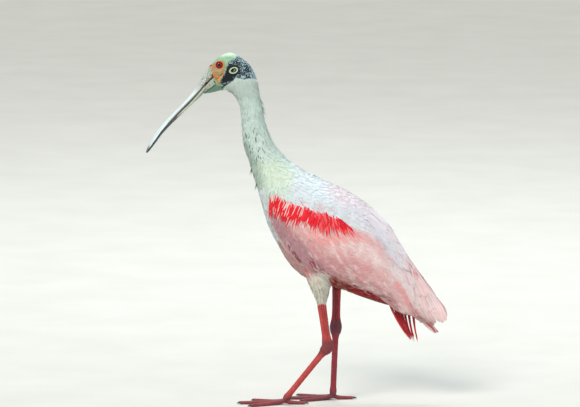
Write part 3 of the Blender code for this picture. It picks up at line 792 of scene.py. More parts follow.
def speckled(material, colour, size, detail, low, high):
    """A node's colour, lighter and darker by noise of a size in millimetres, and the noise itself."""
    place = add_node(material, "TexCoord")
    noise = add_node(material, "TexNoise", {"Scale": 1 / (size * MM), "Detail": detail},
                     [(place, "Object", "Vector")])
    shade = add_node(material, "MapRange", {**NOISE_SPAN, "To Min": low, "To Max": high},
                     [(noise, "Fac", "Value")])
    mixed = add_node(material, "VectorMath", {"operation": "SCALE"},
                     [(colour, "Color", 0), (shade, "Result", "Scale")])
    return mixed, noise


def silicone_skin():
    """Cast silicone skin: soft sheen, pebbled and finely speckled like a wading bird's bare skin."""
    skin, shader = new_material(
        "cast_silicone_skin",
        {"Roughness": 0.5, "IOR": 1.41, "Specular IOR Level": 0.4, "Subsurface Weight": 0.06,
         "Subsurface Radius": (0.004, 0.0015, 0.001), "Subsurface Scale": 1.0},
    )
    tint = add_node(skin, "VertexColor", {"layer_name": "tint"})
    mixed, speckle = speckled(skin, tint, 0.9, 3.0, 0.86, 1.1)
    place = add_node(skin, "TexCoord")
    pebbles = add_node(skin, "TexVoronoi", {"Scale": 1 / (1.3 * MM), "feature": "F1"},
                       [(place, "Object", "Vector")])
    bump = add_node(skin, "Bump", {"Strength": 0.35, "Distance": 0.25 * MM},
                    [(pebbles, "Distance", "Height")])
    gloss = add_node(skin, "MapRange", {**NOISE_SPAN, "To Min": 0.42, "To Max": 0.6},
                     [(speckle, "Fac", "Value")])
    drive(skin, mixed, "Vector", shader, "Base Color")
    drive(skin, bump, "Normal", shader, "Normal")
    drive(skin, gloss, "Result", shader, "Roughness")
    return skin


def make_skin():
    skin = shell_object("skin", *body_shell())
    carve(skin, rear_block(), "DIFFERENCE")
    for other in (head_shell(), lid_bead(-1), lid_bead(1), leg_shell("left"), leg_shell("right")):
        carve(skin, shell_object("other", *other), "UNION")
    mesh = skin.data
    mesh.polygons.foreach_set("use_smooth", np.ones(len(mesh.polygons), bool))
    points = mesh_points(mesh)
    colours = markings(points)
    # the legs take their own colours from a little above the top of each shin
    legs = points[:, 2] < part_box("shin_right")[1].z + 4 * MM
    legs &= (points[:, 2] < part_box("shin_left")[1].z + 4 * MM) | (points[:, 1] > 0)
    colours[legs] = leg_markings(points[legs])
    paint(mesh, colours)
    mesh.materials.clear()
    mesh.materials.append(silicone_skin())
    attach(skin, "root")
    flesh = ["head", "ear_left", "ear_right"] + BODY_NODES
    flesh += [piece + "_" + word for piece in LEG_PIECES for word in ("left", "right")]
    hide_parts(*flesh)
    return skin


make_skin()


# ------------------------------------------------------------------------------------------------
# Eyes. Two glass eyes with a red iris round a black pupil, set in the sockets under the lids. The
# clear front is modelled as a hard gloss coat over the painted iris.
# ------------------------------------------------------------------------------------------------
PUPIL_HALF = 2.75
IRIS_HALF = 4.9
EYE_TURNS = 64


def glass_eye():
    """Painted glass under a clear coat: fine red fibres, darker at the pupil and at the rim."""
    glass, shader = new_material(
        "painted_glass_eye",
        {"Roughness": 0.3, "IOR": 1.5, "Specular IOR Level": 0.15, "Coat Weight": 0.6,
         "Coat Roughness": 0.03},
    )
    reach = add_node(glass, "Attribute", {"attribute_name": "reach"})
    ramp = add_node(glass, "ValToRGB", {}, [(reach, "Fac", "Fac")])
    stops = [(0.0, "#060405"), (PUPIL_HALF - 0.15, "#060405"), (PUPIL_HALF + 0.15, "#6A0412"),
             (3.4, "#B00A24"), (4.2, "#B80C28"), (IRIS_HALF, "#5A0610"), (IRIS_HALF + 0.35, "#0C0204"),
             (7.0, "#0C0204")]
    elements = ramp.color_ramp.elements
    while len(elements) < len(stops):
        elements.new(0.5)
    for element, (radius, code) in zip(elements, stops):
        element.position = radius / EYE_RADIUS
        element.color = (*linear(code), 1)
    mixed, _ = speckled(glass, ramp, 0.6, 4.0, 0.75, 1.25)
    drive(glass, mixed, "Vector", shader, "Base Color")
    return glass


def make_eye(word, side, glass):
    """A fine ball with a slightly raised cornea."""
    axis, up, ahead = eye_frame(side)
    centre = EYE_PLACE * (1, side, 1)
    rows = EYE_TURNS // 2
    points = []
    reaches = []
    for row in range(rows + 1):
        polar = math.pi * row / rows
        bulge = 0.35 * ease(0.75, 0.2, polar)
        for turn in range(EYE_TURNS):
            angle = math.tau * turn / EYE_TURNS
            around = ahead * math.cos(angle) + up * math.sin(angle)
            out = axis * math.cos(polar) + around * math.sin(polar)
            points.append((centre + out * (EYE_RADIUS - 0.1 + bulge)) * MM)
            reaches.append(math.sin(min(polar, math.pi / 2)))
    quads = []
    for here in range(0, rows * EYE_TURNS, EYE_TURNS):
        for k in range(EYE_TURNS):
            beyond = (k + 1) % EYE_TURNS
            quads.append((here + k, here + EYE_TURNS + k, here + EYE_TURNS + beyond, here + beyond))
    mesh = make_mesh("glass_eye_" + word, np.array(points), np.array(quads).ravel(), np.full(len(quads), 4))
    reach = mesh.attributes.new("reach", "FLOAT", "POINT")
    reach.data.foreach_set("value", np.array(reaches, np.float32))
    eye = add_piece("glass_eye_" + word, mesh, glass)
    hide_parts("eye_" + word)


GLASS = glass_eye()
make_eye("left", -1, GLASS)
make_eye("right", 1, GLASS)


# ------------------------------------------------------------------------------------------------
# Plumage form. The feathers lie on one smooth outer form of the bird, which runs through their tips.
# Each is a closed vane of thin mesh: it is rooted under the form, follows the lie of the plumage over
# it and ends in a frayed tip. All the vanes of a tract are joined into one piece.
# ------------------------------------------------------------------------------------------------
FORM_GRAIN = 2.6
# (place on the side drawing, direction in which the feathers lie there)
LIE = [((-122, 516), (0.85, -0.5)), ((-108, 512), (0.75, -0.65)), ((-70, 548), (0.4, -0.9)),
       ((-80, 524), (0.25, -1.0)), ((-95, 490), (0.15, -1.0)), ((-62, 500), (0.05, -1.0)),
       ((-75, 465), (0.06, -1.0)), ((-70, 440), (0.1, -1.0)), ((-62, 420), (0.22, -1.0)),
       ((-50, 400), (0.4, -0.9)), ((-25, 405), (0.75, -0.65)), ((0, 385), (0.85, -0.5)),
       ((-14, 364), (0.6, -0.8)), ((20, 350), (0.8, -0.6)), ((45, 362), (0.93, -0.37)),
       ((86, 345), (0.88, -0.48)), ((60, 328), (0.85, -0.52)), ((120, 320), (0.72, -0.69)),
       ((145, 290), (0.62, -0.78)), ((167, 258), (0.5, -0.86)), ((200, 200), (0.53, -0.85)),
       ((235, 150), (0.5, -0.86)), ((-68, 372), (0.1, -1.0)), ((-64, 330), (0.12, -1.0)),
       ((-50, 290), (0.3, -0.95)), ((-30, 252), (0.5, -0.87)), ((-8, 222), (0.65, -0.76)),
       ((25, 200), (0.9, -0.43)), ((70, 188), (0.95, -0.3)), ((110, 172), (0.9, -0.43)),
       ((150, 150), (0.7, -0.7)), ((-38, 330), (0.05, -1.0)), ((-20, 290), (0.35, -0.94)),
       ((10, 262), (0.55, -0.83)), ((40, 300), (0.6, -0.8)), ((60, 262), (0.74, -0.67)),
       ((40, 225), (0.85, -0.5)), ((100, 215), (0.85, -0.5)), ((100, 280), (0.72, -0.69)),
       ((140, 230), (0.62, -0.78)), ((150, 190), (0.62, -0.78)), ((180, 200), (0.5, -0.87)),
       ((30, 190), (0.15, -1.0)), ((40, 165), (0.05, -1.0))]
# The line down the middle of the bird, as (x, z), from the bill's root to the wing tips
SPINE = [(-150, 535), (-115, 545), (-85, 520), (-76, 470), (-68, 425), (-40, 385), (20, 320), (80, 270),
         (140, 220), (200, 170), (245, 130)]
THICK = 0.3  # of a vane in the middle
PATCH = 0.003  # across, of one feather's place on the bake's map
MARGIN = 0.02  # of that map
TRIES = 5  # random places for each one that could be kept
BARBS = 0.7  # from barb to barb, drawn coarser than life's third of a millimetre so that they show


class Form:
    """A smooth surface that feathers are laid on."""

    def __init__(self, points, quads):
        self.points = points
        self.quads = quads
        self.normals = normals_of(points, quads)
        self.tree = BVHTree.FromPolygons(points.tolist(), quads.tolist())

    def touch(self, spots):
        """The nearest places on the form and the smooth normals there."""
        found = [self.tree.find_nearest(spot) for spot in spots]
        places = np.array([hit[0][:] for hit in found])
        corners = self.quads[[hit[2] for hit in found]]
        gaps = np.linalg.norm(self.points[corners] - places[:, None], axis=2)
        weights = 1 / (gaps + 0.1 * MM)
        normals = (self.normals[corners] * weights[..., None]).sum(axis=1)
        return places, unit(normals)

    def scatter(self, spacing, seed, wanted):
        """Evenly spread random places on the form, where wanted(places, normals) allows them."""
        rng = np.random.default_rng(seed)
        corners = self.points[self.quads]
        square = np.cross(corners[:, 2] - corners[:, 0], corners[:, 3] - corners[:, 1])
        areas = np.linalg.norm(square, axis=1) / 2
        centres = corners.mean(axis=1)
        faces = np.flatnonzero(wanted(centres, unit(self.normals[self.quads].mean(axis=1))))
        share = areas[faces]
        count = int(share.sum() / (spacing * MM) ** 2 * TRIES)
        picks = faces[rng.choice(len(faces), count, p=share / share.sum())]
        a, b = rng.random((2, count, 1))
        chosen = corners[picks]
        near_edge = chosen[:, 0] * (1 - a) + chosen[:, 1] * a
        far_edge = chosen[:, 3] * (1 - a) + chosen[:, 2] * a
        spots = near_edge * (1 - b) + far_edge * b
        return spots[spread_out(spots, spacing * MM)]


def spread_out(spots, spacing):
    """Which spots to keep so that none is nearer to another than the spacing."""
    cells = np.floor(spots / spacing).astype(int)
    taken = {}
    kept = []
    near = [(i, j, k) for i in (-1, 0, 1) for j in (-1, 0, 1) for k in (-1, 0, 1)]
    for number, (spot, (cx, cy, cz)) in enumerate(zip(spots.tolist(), cells.tolist())):
        others = (other for i, j, k in near for other in taken.get((cx + i, cy + j, cz + k), ()))
        if all(math.dist(spot, other) >= spacing for other in others):
            taken.setdefault((cx, cy, cz), []).append(spot)
            kept.append(number)
    return np.array(kept)


def lie_at(points, lie=LIE):
    """The direction in which the feathers lie at each point."""
    x, h = drawn(points)
    places = np.array([place for place, _ in lie], float)
    ways = unit(np.array([way for _, way in lie], float))
    gaps = np.hypot(x[:, None] - places[:, 0], h[:, None] - places[:, 1])
    weights = 1 / (gaps + 4) ** 3
    way = unit(weights @ ways)
    return np.stack([way[:, 0], np.zeros(len(x)), way[:, 1]], axis=1)


def way_along(points, line):
    """How far along a line on the middle plane each point is, how far above it, and the line's length."""
    x = points[:, 0] / MM
    z = points[:, 2] / MM
    best = np.full(len(x), 1e9)
    along = np.zeros(len(x))
    above = np.zeros(len(x))
    passed = 0.0
    for (ax, az), (bx, bz) in zip(line, line[1:]):
        dx, dz = bx - ax, bz - az
        length = math.hypot(dx, dz)
        share = np.clip(((x - ax) * dx + (z - az) * dz) / length**2, 0, 1)
        off_x = x - ax - share * dx
        off_z = z - az - share * dz
        gap = np.hypot(off_x, off_z)
        nearer = gap < best
        best = np.where(nearer, gap, best)
        along = np.where(nearer, passed + share * length, along)
        above = np.where(nearer, (off_z * dx - off_x * dz) / length, above)
        passed += length
    return along, above, passed


def unwrap(points):
    """Each point's place on the skin laid flat: the way along the bird's spine, and the angle round it."""
    along, above, length = way_along(points, SPINE)
    angle = np.arctan2(points[:, 1] / MM, above) / math.tau + 0.5
    return MARGIN + (1 - 2 * MARGIN) * np.stack([along / length, angle], axis=1)


def tilt(ways, normals, angles):
    """Turn directions about the normals by angles in radians."""
    side = np.cross(normals, ways)
    return ways * np.cos(angles)[:, None] + side * np.sin(angles)[:, None]


def follow(roots, lengths, rows, turns, lie):
    """Walk from each root over the form as the plumage lies, and give places, normals and ways by row."""
    place, normal = FORM.touch(roots)
    places = [place]
    normals = [normal]
    ways = []
    for row in range(rows):
        way = lie_at(place, lie)
        if ways:
            way = unit(0.5 * way + 0.5 * ways[-1])
        way = unit(way - normal * (way * normal).sum(axis=1, keepdims=True))
        if not ways:
            way = tilt(way, normal, turns)
        ways.append(way)
        if row == rows - 1:
            break
        place, normal = FORM.touch(place + way * (lengths / (rows - 1))[:, None])
        places.append(place)
        normals.append(normal)
    return np.stack(places, 1), np.stack(normals, 1), np.stack(ways, 1)


def rounded(t):
    """A body feather's width along its length: narrow at the root and round at the tip."""
    tip = np.sqrt(np.clip(1 - ((t - 0.62) / 0.4).clip(0, 1) ** 2, 0, 1))
    return (0.3 + 0.7 * ease(0.0, 0.45, t)) * tip


def pointed(t):
    """A hackle's width along its length: slim, with a drawn-out tip."""
    return (0.6 + 0.4 * ease(0.0, 0.3, t)) * (1 - t**2.2) ** 0.8 + 0.03


def vane_faces(rows, columns):
    """The corners and face sizes of one closed vane, and for each corner 1 on top and -1 underneath.

    Each row of a vane has its upper points, then its inner lower ones, as one ring.
    """
    ring = 2 * columns - 2
    under = [0] + [ring - k for k in range(1, columns - 1)] + [columns - 1]
    loops = []
    sizes = []
    facing = []
    for row in range(rows - 1):
        here = row * ring
        after = here + ring
        for k in range(ring):
            beyond = (k + 1) % ring
            loops += [here + k, after + k, after + beyond, here + beyond]
            sizes.append(4)
            facing += [1 if k < columns - 1 else -1] * 4
    for start, order in ((0, 1), ((rows - 1) * ring, -1)):
        for k in range(columns - 1):
            corners = [k, k + 1, under[k + 1], under[k]]
            corners = [start + c for i, c in enumerate(corners) if c not in corners[:i]][::order]
            loops += corners
            sizes.append(len(corners))
            facing += [1] * len(corners)
    return np.array(loops), np.array(sizes), np.array(facing)


def ring_of(values, columns, axis):
    """Values for each column, taken round a row's ring: over the top and back underneath."""
    order = list(range(columns)) + list(range(columns - 2, 0, -1))
    return np.take(values, order, axis=axis)


def add_vanes(name, path, size, shape, look):
    """Join closed vanes into one piece. Path is places, normals and ways; size is lengths and widths.

    Shape gives the points along and across a vane, the profile of its width, how high over the form its
    root and tip lie (sink and rise) and how soon it rises (lift), the droop of its edges, the fray of its
    tip, and how far it is shaded like the form (soft). Look gives the colours and what varies them.
    """
    places, normals, ways = path
    lengths, widths = size
    count, rows, _ = places.shape
    columns = shape["columns"]
    ring = 2 * columns - 2
    t = np.linspace(0, 1, rows)
    u = np.linspace(-1, 1, columns)
    profile = shape["profile"](t)
    sides = unit(np.cross(normals, ways))
    heights = shape["sink"] + (shape["rise"] - shape["sink"]) * t ** shape.get("lift", 1.0)
    heights = heights[None, :] + look.get("ruffle", np.zeros(count))[:, None] * t**1.5
    across = u[None, None, :] * profile[None, :, None] * widths[:, None, None] / 2
    droop = shape["droop"] * widths[:, None, None] * profile[None, :, None] * u[None, None, :] ** 2
    # the middle of the tip is longest, and the barbs beside it stop short by chance
    short = np.abs(u) ** 1.3 * np.random.default_rng(count).uniform(0.6, 1.2, (count, columns))
    back = shape["fray"] * short[:, None, :] * lengths[:, None, None] * ease(0.4, 1.0, t)[None, :, None]
    up = heights[:, :, None] - droop + shape.get("quill", 0.0) * (np.abs(u) < 0.01)[None, None, :]
    thick = THICK * (1 - u[None, None, :] ** 2) ** 0.5 * profile[None, :, None]
    across, back, up = (ring_of(values, columns, 2) for values in (across, back, up))
    thick = ring_of(np.broadcast_to(thick, (count, rows, columns)), columns, 2)
    up[:, :, columns:] -= thick[:, :, columns:]
    points = (
        places[:, :, None]
        + sides[:, :, None] * (across * MM)[..., None]
        + normals[:, :, None] * (up * MM)[..., None]
        - ways[:, :, None] * (back * MM)[..., None]
    ).reshape(-1, 3)
    loops, sizes, facing = vane_faces(rows, columns)
    all_loops = (loops[None, :] + (np.arange(count) * rows * ring)[:, None]).ravel()
    mesh = make_mesh(name, points, all_loops, np.tile(sizes, count))
    u = ring_of(u, columns, 0)

    shade = np.ones((count, rows, ring))
    # painted shade darkens each vane toward its hidden root, and painted light brightens it toward its
    # edges
    shade *= 1 + look.get("root_shade", -0.12) * (1 - t)[None, :, None]
    shade *= 1 + look.get("edge_light", 0.05) * (np.abs(u) ** 2)[None, None, :]
    colours = look["colours"][:, None, None, :] * shade[..., None]
    if "quill_colour" in look:
        quill = (np.abs(u) < 0.01)[None, None, :, None] * look["quill_share"]
        colours = colours * (1 - quill) + look["quill_colour"] * quill
    paint(mesh, colours.reshape(-1, 3))

    in_patch = np.stack(np.broadcast_arrays(u[None, :] / 2, t[:, None] - 0.5), axis=-1)
    on_skin = unwrap(places[:, 0])[:, None, None, :] + PATCH * in_patch
    aside = (u * 0.5)[None, None, :] * widths[:, None, None]
    from_root = t[None, :, None] * lengths[:, None, None]
    on_vane = np.stack(np.broadcast_arrays(aside, from_root), axis=-1)
    for map_name, spots in (("OFBake", on_skin), ("vane", on_vane)):
        uv_map = mesh.uv_layers.new(name=map_name)
        uv_map.data.foreach_set("uv", spots.reshape(-1, 2)[all_loops].astype(np.float32).ravel())
    form_normals = np.repeat(normals.reshape(-1, 3), ring, axis=0)
    soften(mesh, form_normals, shape["soft"], all_loops, np.tile(facing, count))
    piece = add_piece(name, mesh, SILKY)
    return piece


def soften(mesh, form_normals, share, corners, facing):
    """Shade the vanes partly as the form under them, which gives the closed, silky look of plumage."""
    own = np.zeros(len(mesh.vertices) * 3, np.float32)
    mesh.vertex_normals.foreach_get("vector", own)
    own = own.reshape(-1, 3)
    own *= np.where((own * form_normals).sum(axis=1, keepdims=True) < 0, -1, 1)
    mixed = unit(own * (1 - share) + form_normals * share)
    mesh.normals_split_custom_set((mixed[corners] * facing[:, None]).tolist())


def feather_vane():
    """Feather keratin: matt and silky, with fine barbs that catch the light across the vane."""
    keratin, shader = new_material(
        "silky_body_feather",
        {"Roughness": 0.62, "Specular IOR Level": 0.25, "Sheen Weight": 0.1, "Sheen Roughness": 0.45},
    )
    tint = add_node(keratin, "VertexColor", {"layer_name": "tint"})
    mixed, _ = speckled(keratin, tint, 14, 2.0, 0.95, 1.04)
    vane = add_node(keratin, "UVMap", {"uv_map": "vane"})
    slanted = add_node(keratin, "Mapping", {"Rotation": (0, 0, math.radians(38))}, [(vane, "UV", "Vector")])
    lines = add_node(keratin, "TexWave", {"Scale": math.tau / 20 / BARBS, "Distortion": 1.5, "Detail": 1.0},
                     [(slanted, "Vector", "Vector")])
    bump = add_node(keratin, "Bump", {"Strength": 0.5, "Distance": 0.15 * MM}, [(lines, "Fac", "Height")])
    drive(keratin, mixed, "Vector", shader, "Base Color")
    drive(keratin, bump, "Normal", shader, "Normal")
    return keratin


def lay_tract(name, roots, shape, seed, length, width, spread=0.22, wander=9, lie=LIE, tone=0.06,
              ruffle=0.0, least_ruffle=0.0, stray=0.0, recolour=None):
    """Lay one tract of plumage. Length and width are one value for all roots or one for each.

    Spread is the share by which sizes differ, wander the degrees off the lie, and tone the share by which
    colours differ. Ruffle is how far a few tips stand off, and stray how far off a colour may come from.
    """
    rng = np.random.default_rng(seed)
    count = len(roots)
    lengths = length * (1 + spread * rng.uniform(-1, 1, count))
    widths = width * (1 + spread * rng.uniform(-1, 1, count))
    turns = np.radians(wander) * rng.uniform(-1, 1, count)
    path = follow(roots, lengths * MM, shape["rows"], turns, lie)
    seen = path[0][:, int(shape["rows"] * 0.6)]
    colours = markings(seen + rng.normal(0, stray * MM, (count, 3)))
    if recolour:
        colours = recolour(seen, colours, rng)
    colours = colours * (1 + tone * rng.uniform(-1, 1, (count, 1))
                         + 0.4 * tone * rng.uniform(-1, 1, (count, 3)))
    look = {"colours": colours, "ruffle": least_ruffle + ruffle * rng.random(count) ** 3}
    add_vanes(name, path, (lengths, widths), shape, look)


def plumage_form():
    """The outer form of the whole feathered bird."""
    points, quads = merged([solid_of("head")] + [solid_of(node) for node in BODY_NODES], FORM_GRAIN)
    return Form(relax(points, quads, 8), quads)


FORM = plumage_form()
SILKY = feather_vane()


# ------------------------------------------------------------------------------------------------
# Neck feathers. Short, hair-like white feathers cover the neck from the bare face down. They are cut
# small, laid close, and stand off a little in tufts on the nape.
# ------------------------------------------------------------------------------------------------
NECK_FEATHER = {"rows": 4, "columns": 3, "profile": pointed, "sink": -1.4, "rise": 0.2, "lift": 0.7,
                "droop": 0.10, "fray": 0.0, "soft": 0.7}


def on_neck(points, normals):
    x, h = drawn(points)
    feathered = (outline_depth(x, h, FEATHERED_THROAT) > 2.5 * mottle(points, 2.5 * MM, 58) - 1) | (h < 505)
    return feathered & (h > 392) & (x < -18)


def neck_gap_shade(points, colours, rng):
    """Painted shade: a few neck feathers are painted dark grey-green, as the shaded gaps between the neck's
    feathers, most on the front of the neck.
    """
    x, h = drawn(points)
    share = (rng.random(len(x)) < 0.08) * ease(520, 460, h) * ease(385, 405, h)
    front = ease(-46, -78, x + 0.25 * (h - 440)) * ease(490, 440, h)
    return blend(colours, "#55645F", share * (0.25 + 0.7 * front))


lay_tract("neck_feathers", FORM.scatter(1.75, 51, on_neck), NECK_FEATHER, seed=52,
          length=9.5, width=2.6, wander=14, ruffle=1.2, stray=1.2, recolour=neck_gap_shade)


# (x, z) of the roots of the damp tufts that stand off the nape and off the throat's foot
TUFTS = [(-62, 500), (-60, 491), (-58, 484), (-82, 386), (-70, 362)]
TUFT_FEATHERS = 12


def damp_tufts():
    rng = np.random.default_rng(55)
    roots = [(x + rng.uniform(-1, 1), rng.uniform(-3, 3), z + rng.uniform(-2, 2))
             for x, z in TUFTS for _ in range(TUFT_FEATHERS)]
    places, _ = FORM.touch(np.array(roots) * MM)
    lay_tract("damp_tufts", places, NECK_FEATHER, seed=56, length=13, width=2.4,
              wander=14, ruffle=4, least_ruffle=3.5)


damp_tufts()


# ------------------------------------------------------------------------------------------------
# Body feathers. Soft white feathers on the back and breast, rose below and crimson on the belly, each
# rounded and frayed at the tip.
# ------------------------------------------------------------------------------------------------
BODY_FEATHER = {"rows": 5, "columns": 3, "profile": rounded, "sink": -1.8, "rise": 0.1, "lift": 0.6,
                "droop": 0.06, "fray": 0.16, "soft": 0.75}
WING_AREA = [(-50, 345), (-40, 352), (-10, 345), (25, 338), (70, 316), (110, 296), (140, 270), (160, 240),
             (175, 200), (160, 156), (142, 169), (118, 183), (96, 191), (69, 199), (50, 212), (36, 208),
             (4, 224), (-28, 256), (-46, 290)]


def on_wing(points, normals):
    """Whether each point is on a folded wing's outer side. The area's rear edge is ragged."""
    x, h = drawn(points)
    ragged = 7 * mottle(points, 9 * MM, 75) * ease(110, 140, x)
    outer = (np.abs(points[:, 1]) > 26 * MM) & (np.abs(normals[:, 1]) > 0.25)
    return (outline_depth(x, h, WING_AREA) > ragged) & outer


def on_body(points, normals):
    x, h = drawn(points)
    bare_leg = (h < 200) & (x > 2) & (x < 76) & (normals[:, 2] < 0.8)
    rear_under = (x > 150) & (normals[:, 2] < 0.2)
    return (h <= 400) & ~on_wing(points, normals) & ~bare_leg & (x < 184) & ~rear_under


LAID_FLAT = 1.0  # how far the tips lie lower next to the long feathers, so that no step shows there


def laid_flat(roots):
    """How far over its usual height the tip of each feather lies."""
    return -LAID_FLAT * ease(140, 180, roots[:, 0] / MM)


BODY_ROOTS = FORM.scatter(2.6, 61, on_body)
lay_tract("body_feathers", BODY_ROOTS, BODY_FEATHER, seed=62, length=22, width=5.6,
          tone=0.045, least_ruffle=laid_flat(BODY_ROOTS), stray=2.5)


# ------------------------------------------------------------------------------------------------
# Wing coverts. The folded wing's outer side carries rows of rose coverts, small at the bend of the
# wing and longer toward the flight feathers.
# ------------------------------------------------------------------------------------------------
def covert_tones(points, colours, rng):
    """Soft whitish and deeper pink clouds and streaks over the rose."""
    streaks = mottle(points * (1, 1, 0.35) + points[:, 2:] * (0.5, 0, 0), 6 * MM, 76)
    clouds = mottle(points, 17 * MM, 77)
    rosy = ease(0.1, 0.3, colours[:, 1])
    pale = ease(0.1, 0.8, streaks) * 0.5 + ease(0.2, 0.8, clouds) * 0.25
    deep = ease(-0.1, -0.8, streaks) * 0.35 + ease(-0.2, -0.8, clouds) * 0.25
    return blend(blend(colours, "#F2DEDB", rosy * pale), "#D68C92", rosy * deep)


COVERT_ROOTS = FORM.scatter(2.6, 71, on_wing)
COVERT_LENGTHS = 23 + 10 * ease(20, 150, COVERT_ROOTS[:, 0] / MM)
lay_tract("wing_coverts", COVERT_ROOTS, BODY_FEATHER, seed=72, length=COVERT_LENGTHS,
          width=COVERT_LENGTHS / 4.2, tone=0.03, least_ruffle=laid_flat(COVERT_ROOTS),
          recolour=covert_tones)


# ------------------------------------------------------------------------------------------------
# Carmine hackles. A band of slim, loose carmine feathers hangs from the shoulder over the bend of the
# wing. Pale gaps show between them in front, and they turn coral toward the rear.
# ------------------------------------------------------------------------------------------------
HACKLE = {"rows": 6, "columns": 3, "profile": pointed, "sink": -0.6, "rise": 0.9, "lift": 0.8,
          "droop": 0.14, "fray": 0.0, "soft": 0.5}
HACKLE_ROOTS = [(-46, 339), (-42, 342), (-33, 345), (-20, 335), (-4, 330), (8, 328), (22, 320), (34, 313),
                (44, 314), (52, 315), (60, 309), (70, 303), (80, 294), (72, 294), (60, 297), (50, 299),
                (40, 302), (30, 305), (22, 310), (10, 313), (0, 314), (-10, 314), (-20, 318), (-30, 325),
                (-40, 329), (-46, 326)]
HACKLE_LIE = [((-45, 330), (-0.15, -1.0)), ((-25, 325), (-0.4, -0.9)), ((0, 315), (-0.4, -0.9)),
              ((20, 310), (-0.35, -0.93)), ((30, 305), (-0.25, -0.96)), ((45, 298), (0.0, -1.0)),
              ((60, 296), (0.2, -0.98)), ((72, 294), (0.5, -0.87)), ((80, 292), (0.68, -0.73))]
HACKLE_LOWEST = [(-60, 306), (-12, 300), (10, 300), (34, 293), (80, 284), (100, 272)]  # coral below it


def on_shoulder(points, normals):
    x, h = drawn(points)
    return (outline_depth(x, h, HACKLE_ROOTS) > 0) & (np.abs(normals[:, 1]) > 0.2)


def carmine(points, colours, rng):
    """Carmine with darker feathers here and there, pale gaps in front and coral lower down at the rear."""
    x, h = drawn(points)
    count = len(x)
    chance = rng.random(count)
    above = np.sign(h - np.interp(x, *np.array(HACKLE_LOWEST).T))
    low = ease(3, -5, line_distance(x, h, HACKLE_LOWEST) * above)
    colours = np.tile(linear("#F01C2E"), (count, 1))
    coral = np.maximum((chance < 0.2) * ease(-10, 60, x), low * (chance < 0.75))
    colours = blend(colours, "#F07476", coral * 0.75)
    colours = blend(colours, "#C00F20", (chance > 0.84) * (1 - low) * 0.7)
    pale = (rng.random(count) < 0.17 * ease(40, 10, x)) * 1.0
    return blend(colours, "#F0CFCB", pale)


lay_tract("carmine_hackles", FORM.scatter(1.6, 81, on_shoulder), HACKLE, seed=82,
          length=22, width=2.9, lie=HACKLE_LIE, wander=7, tone=0.10, spread=0.42, recolour=carmine)


# ------------------------------------------------------------------------------------------------
# Long feathers. Each wing ends in broad quill feathers that overlap like a closed fan, with rows of
# shorter coverts over their roots. More feathers lie along each wing's ridge and over the gap between
# the wings. Each has a stiff quill down the middle.
# ------------------------------------------------------------------------------------------------
TRAILING_EDGE = [(146, 172), (155, 158), (170, 145), (182, 141), (192, 139), (201, 134), (211, 126),
                 (219, 125), (225, 130), (232, 131), (238, 131), (243, 135)]
# (x, h) just inside the top edge
RIDGE = [(160, 263), (168, 252), (181, 233), (199, 209), (216, 186), (230, 163), (239, 145)]
RIDGE_FEATHERS = 10
CROWN_FEATHERS = 9
# (feathers, depth under the sheet, how far the tips stop short, width, share of the full length)
FEATHER_ROWS = [(20, 0.0, 0, 15, 1.0), (12, 2.5, 7, 16, 1.0), (9, 5.0, 15, 18, 1.0),
                (13, -0.3, 26, 12, 0.5), (13, -0.6, 42, 12, 0.4)]
FAN_LENGTHS = (84, 134)  # of the lowest and the uppermost long feather
LEAST_ASIDE = 0.7  # from a long feather to the middle plane
FAN_ANGLES = ((0, 0.75, 1), (-38, -61, -57.5))  # degrees, by the share of the way along the edge
TONE_ROW = 9  # of a feather's 14 rows, where its colour is taken


def broad(t):
    """A quill feather's width along its length."""
    tip = np.sqrt(np.clip(1 - ((t - 0.8) / 0.22).clip(0, 1) ** 2, 0.01, 1))
    return (0.35 + 0.65 * ease(0.0, 0.3, t)) * tip


QUILL = {"rows": 14, "columns": 9, "profile": broad, "sink": -3.6, "rise": 0.0, "lift": 0.3, "droop": 0.05,
         "fray": 0.02, "quill": 0.3, "soft": 0.45}


def along_line(points, share):
    """A place at a share of the way along a line of straight lengths."""
    points = np.array(points, float)
    lengths = np.linalg.norm(np.diff(points, axis=0), axis=1)
    passed = np.concatenate([[0], np.cumsum(lengths)])
    where = share * passed[-1]
    return np.array([np.interp(where, passed, points[:, k]) for k in (0, 1)])


def powers(x, h):
    """The terms of a cubic in x and h, scaled to stay near 1."""
    x = (x - 170) / 80
    h = (h - 190) / 80
    return np.stack([x**i * h**j for i in range(4) for j in range(4 - i)], axis=-1)


def fit_wing_sheet():
    """A smooth sheet through the outer side of the folded wing, carried on past its edges."""
    x, h = drawn(FORM.points)
    outer = (np.abs(FORM.normals[:, 1]) > 0.25) & (x > 105) & (outline_depth(x, h, WING_TIP) > 0)
    half = FORM.points[outer, 1] / MM
    return np.linalg.lstsq(powers(x[outer], h[outer]), half**2, rcond=None)[0]


WING_TIP = [(100, 190), (146, 172), (172, 146), (216, 126), (250, 134), (218, 186), (184, 236), (150, 285),
            (110, 320)]
WING_SHEET = fit_wing_sheet()
NARROWEST = 1.6  # from the middle plane out to the sheet


def on_sheet(spots, side):
    """Places, normals and ways along spots of the side drawing, on the wing's sheet."""
    spots = np.array(spots, float)

    def place(spots):
        half = np.sqrt(np.maximum(powers(spots[:, 0], spots[:, 1]) @ WING_SHEET, NARROWEST**2))
        return np.stack([spots[:, 0], side * half, spots[:, 1] + half * DRAWN_LOWER], axis=1) * MM

    places = place(spots)
    across = place(spots + (0.5, 0)) - places
    up = place(spots + (0, 0.5)) - places
    normals = unit(np.cross(across, up))
    normals *= np.where(normals[:, 1:2] * side < 0, -1, 1)
    ways = unit(np.gradient(places, axis=0))
    normals = unit(normals - ways * (normals * ways).sum(axis=1, keepdims=True))
    return places, normals, ways


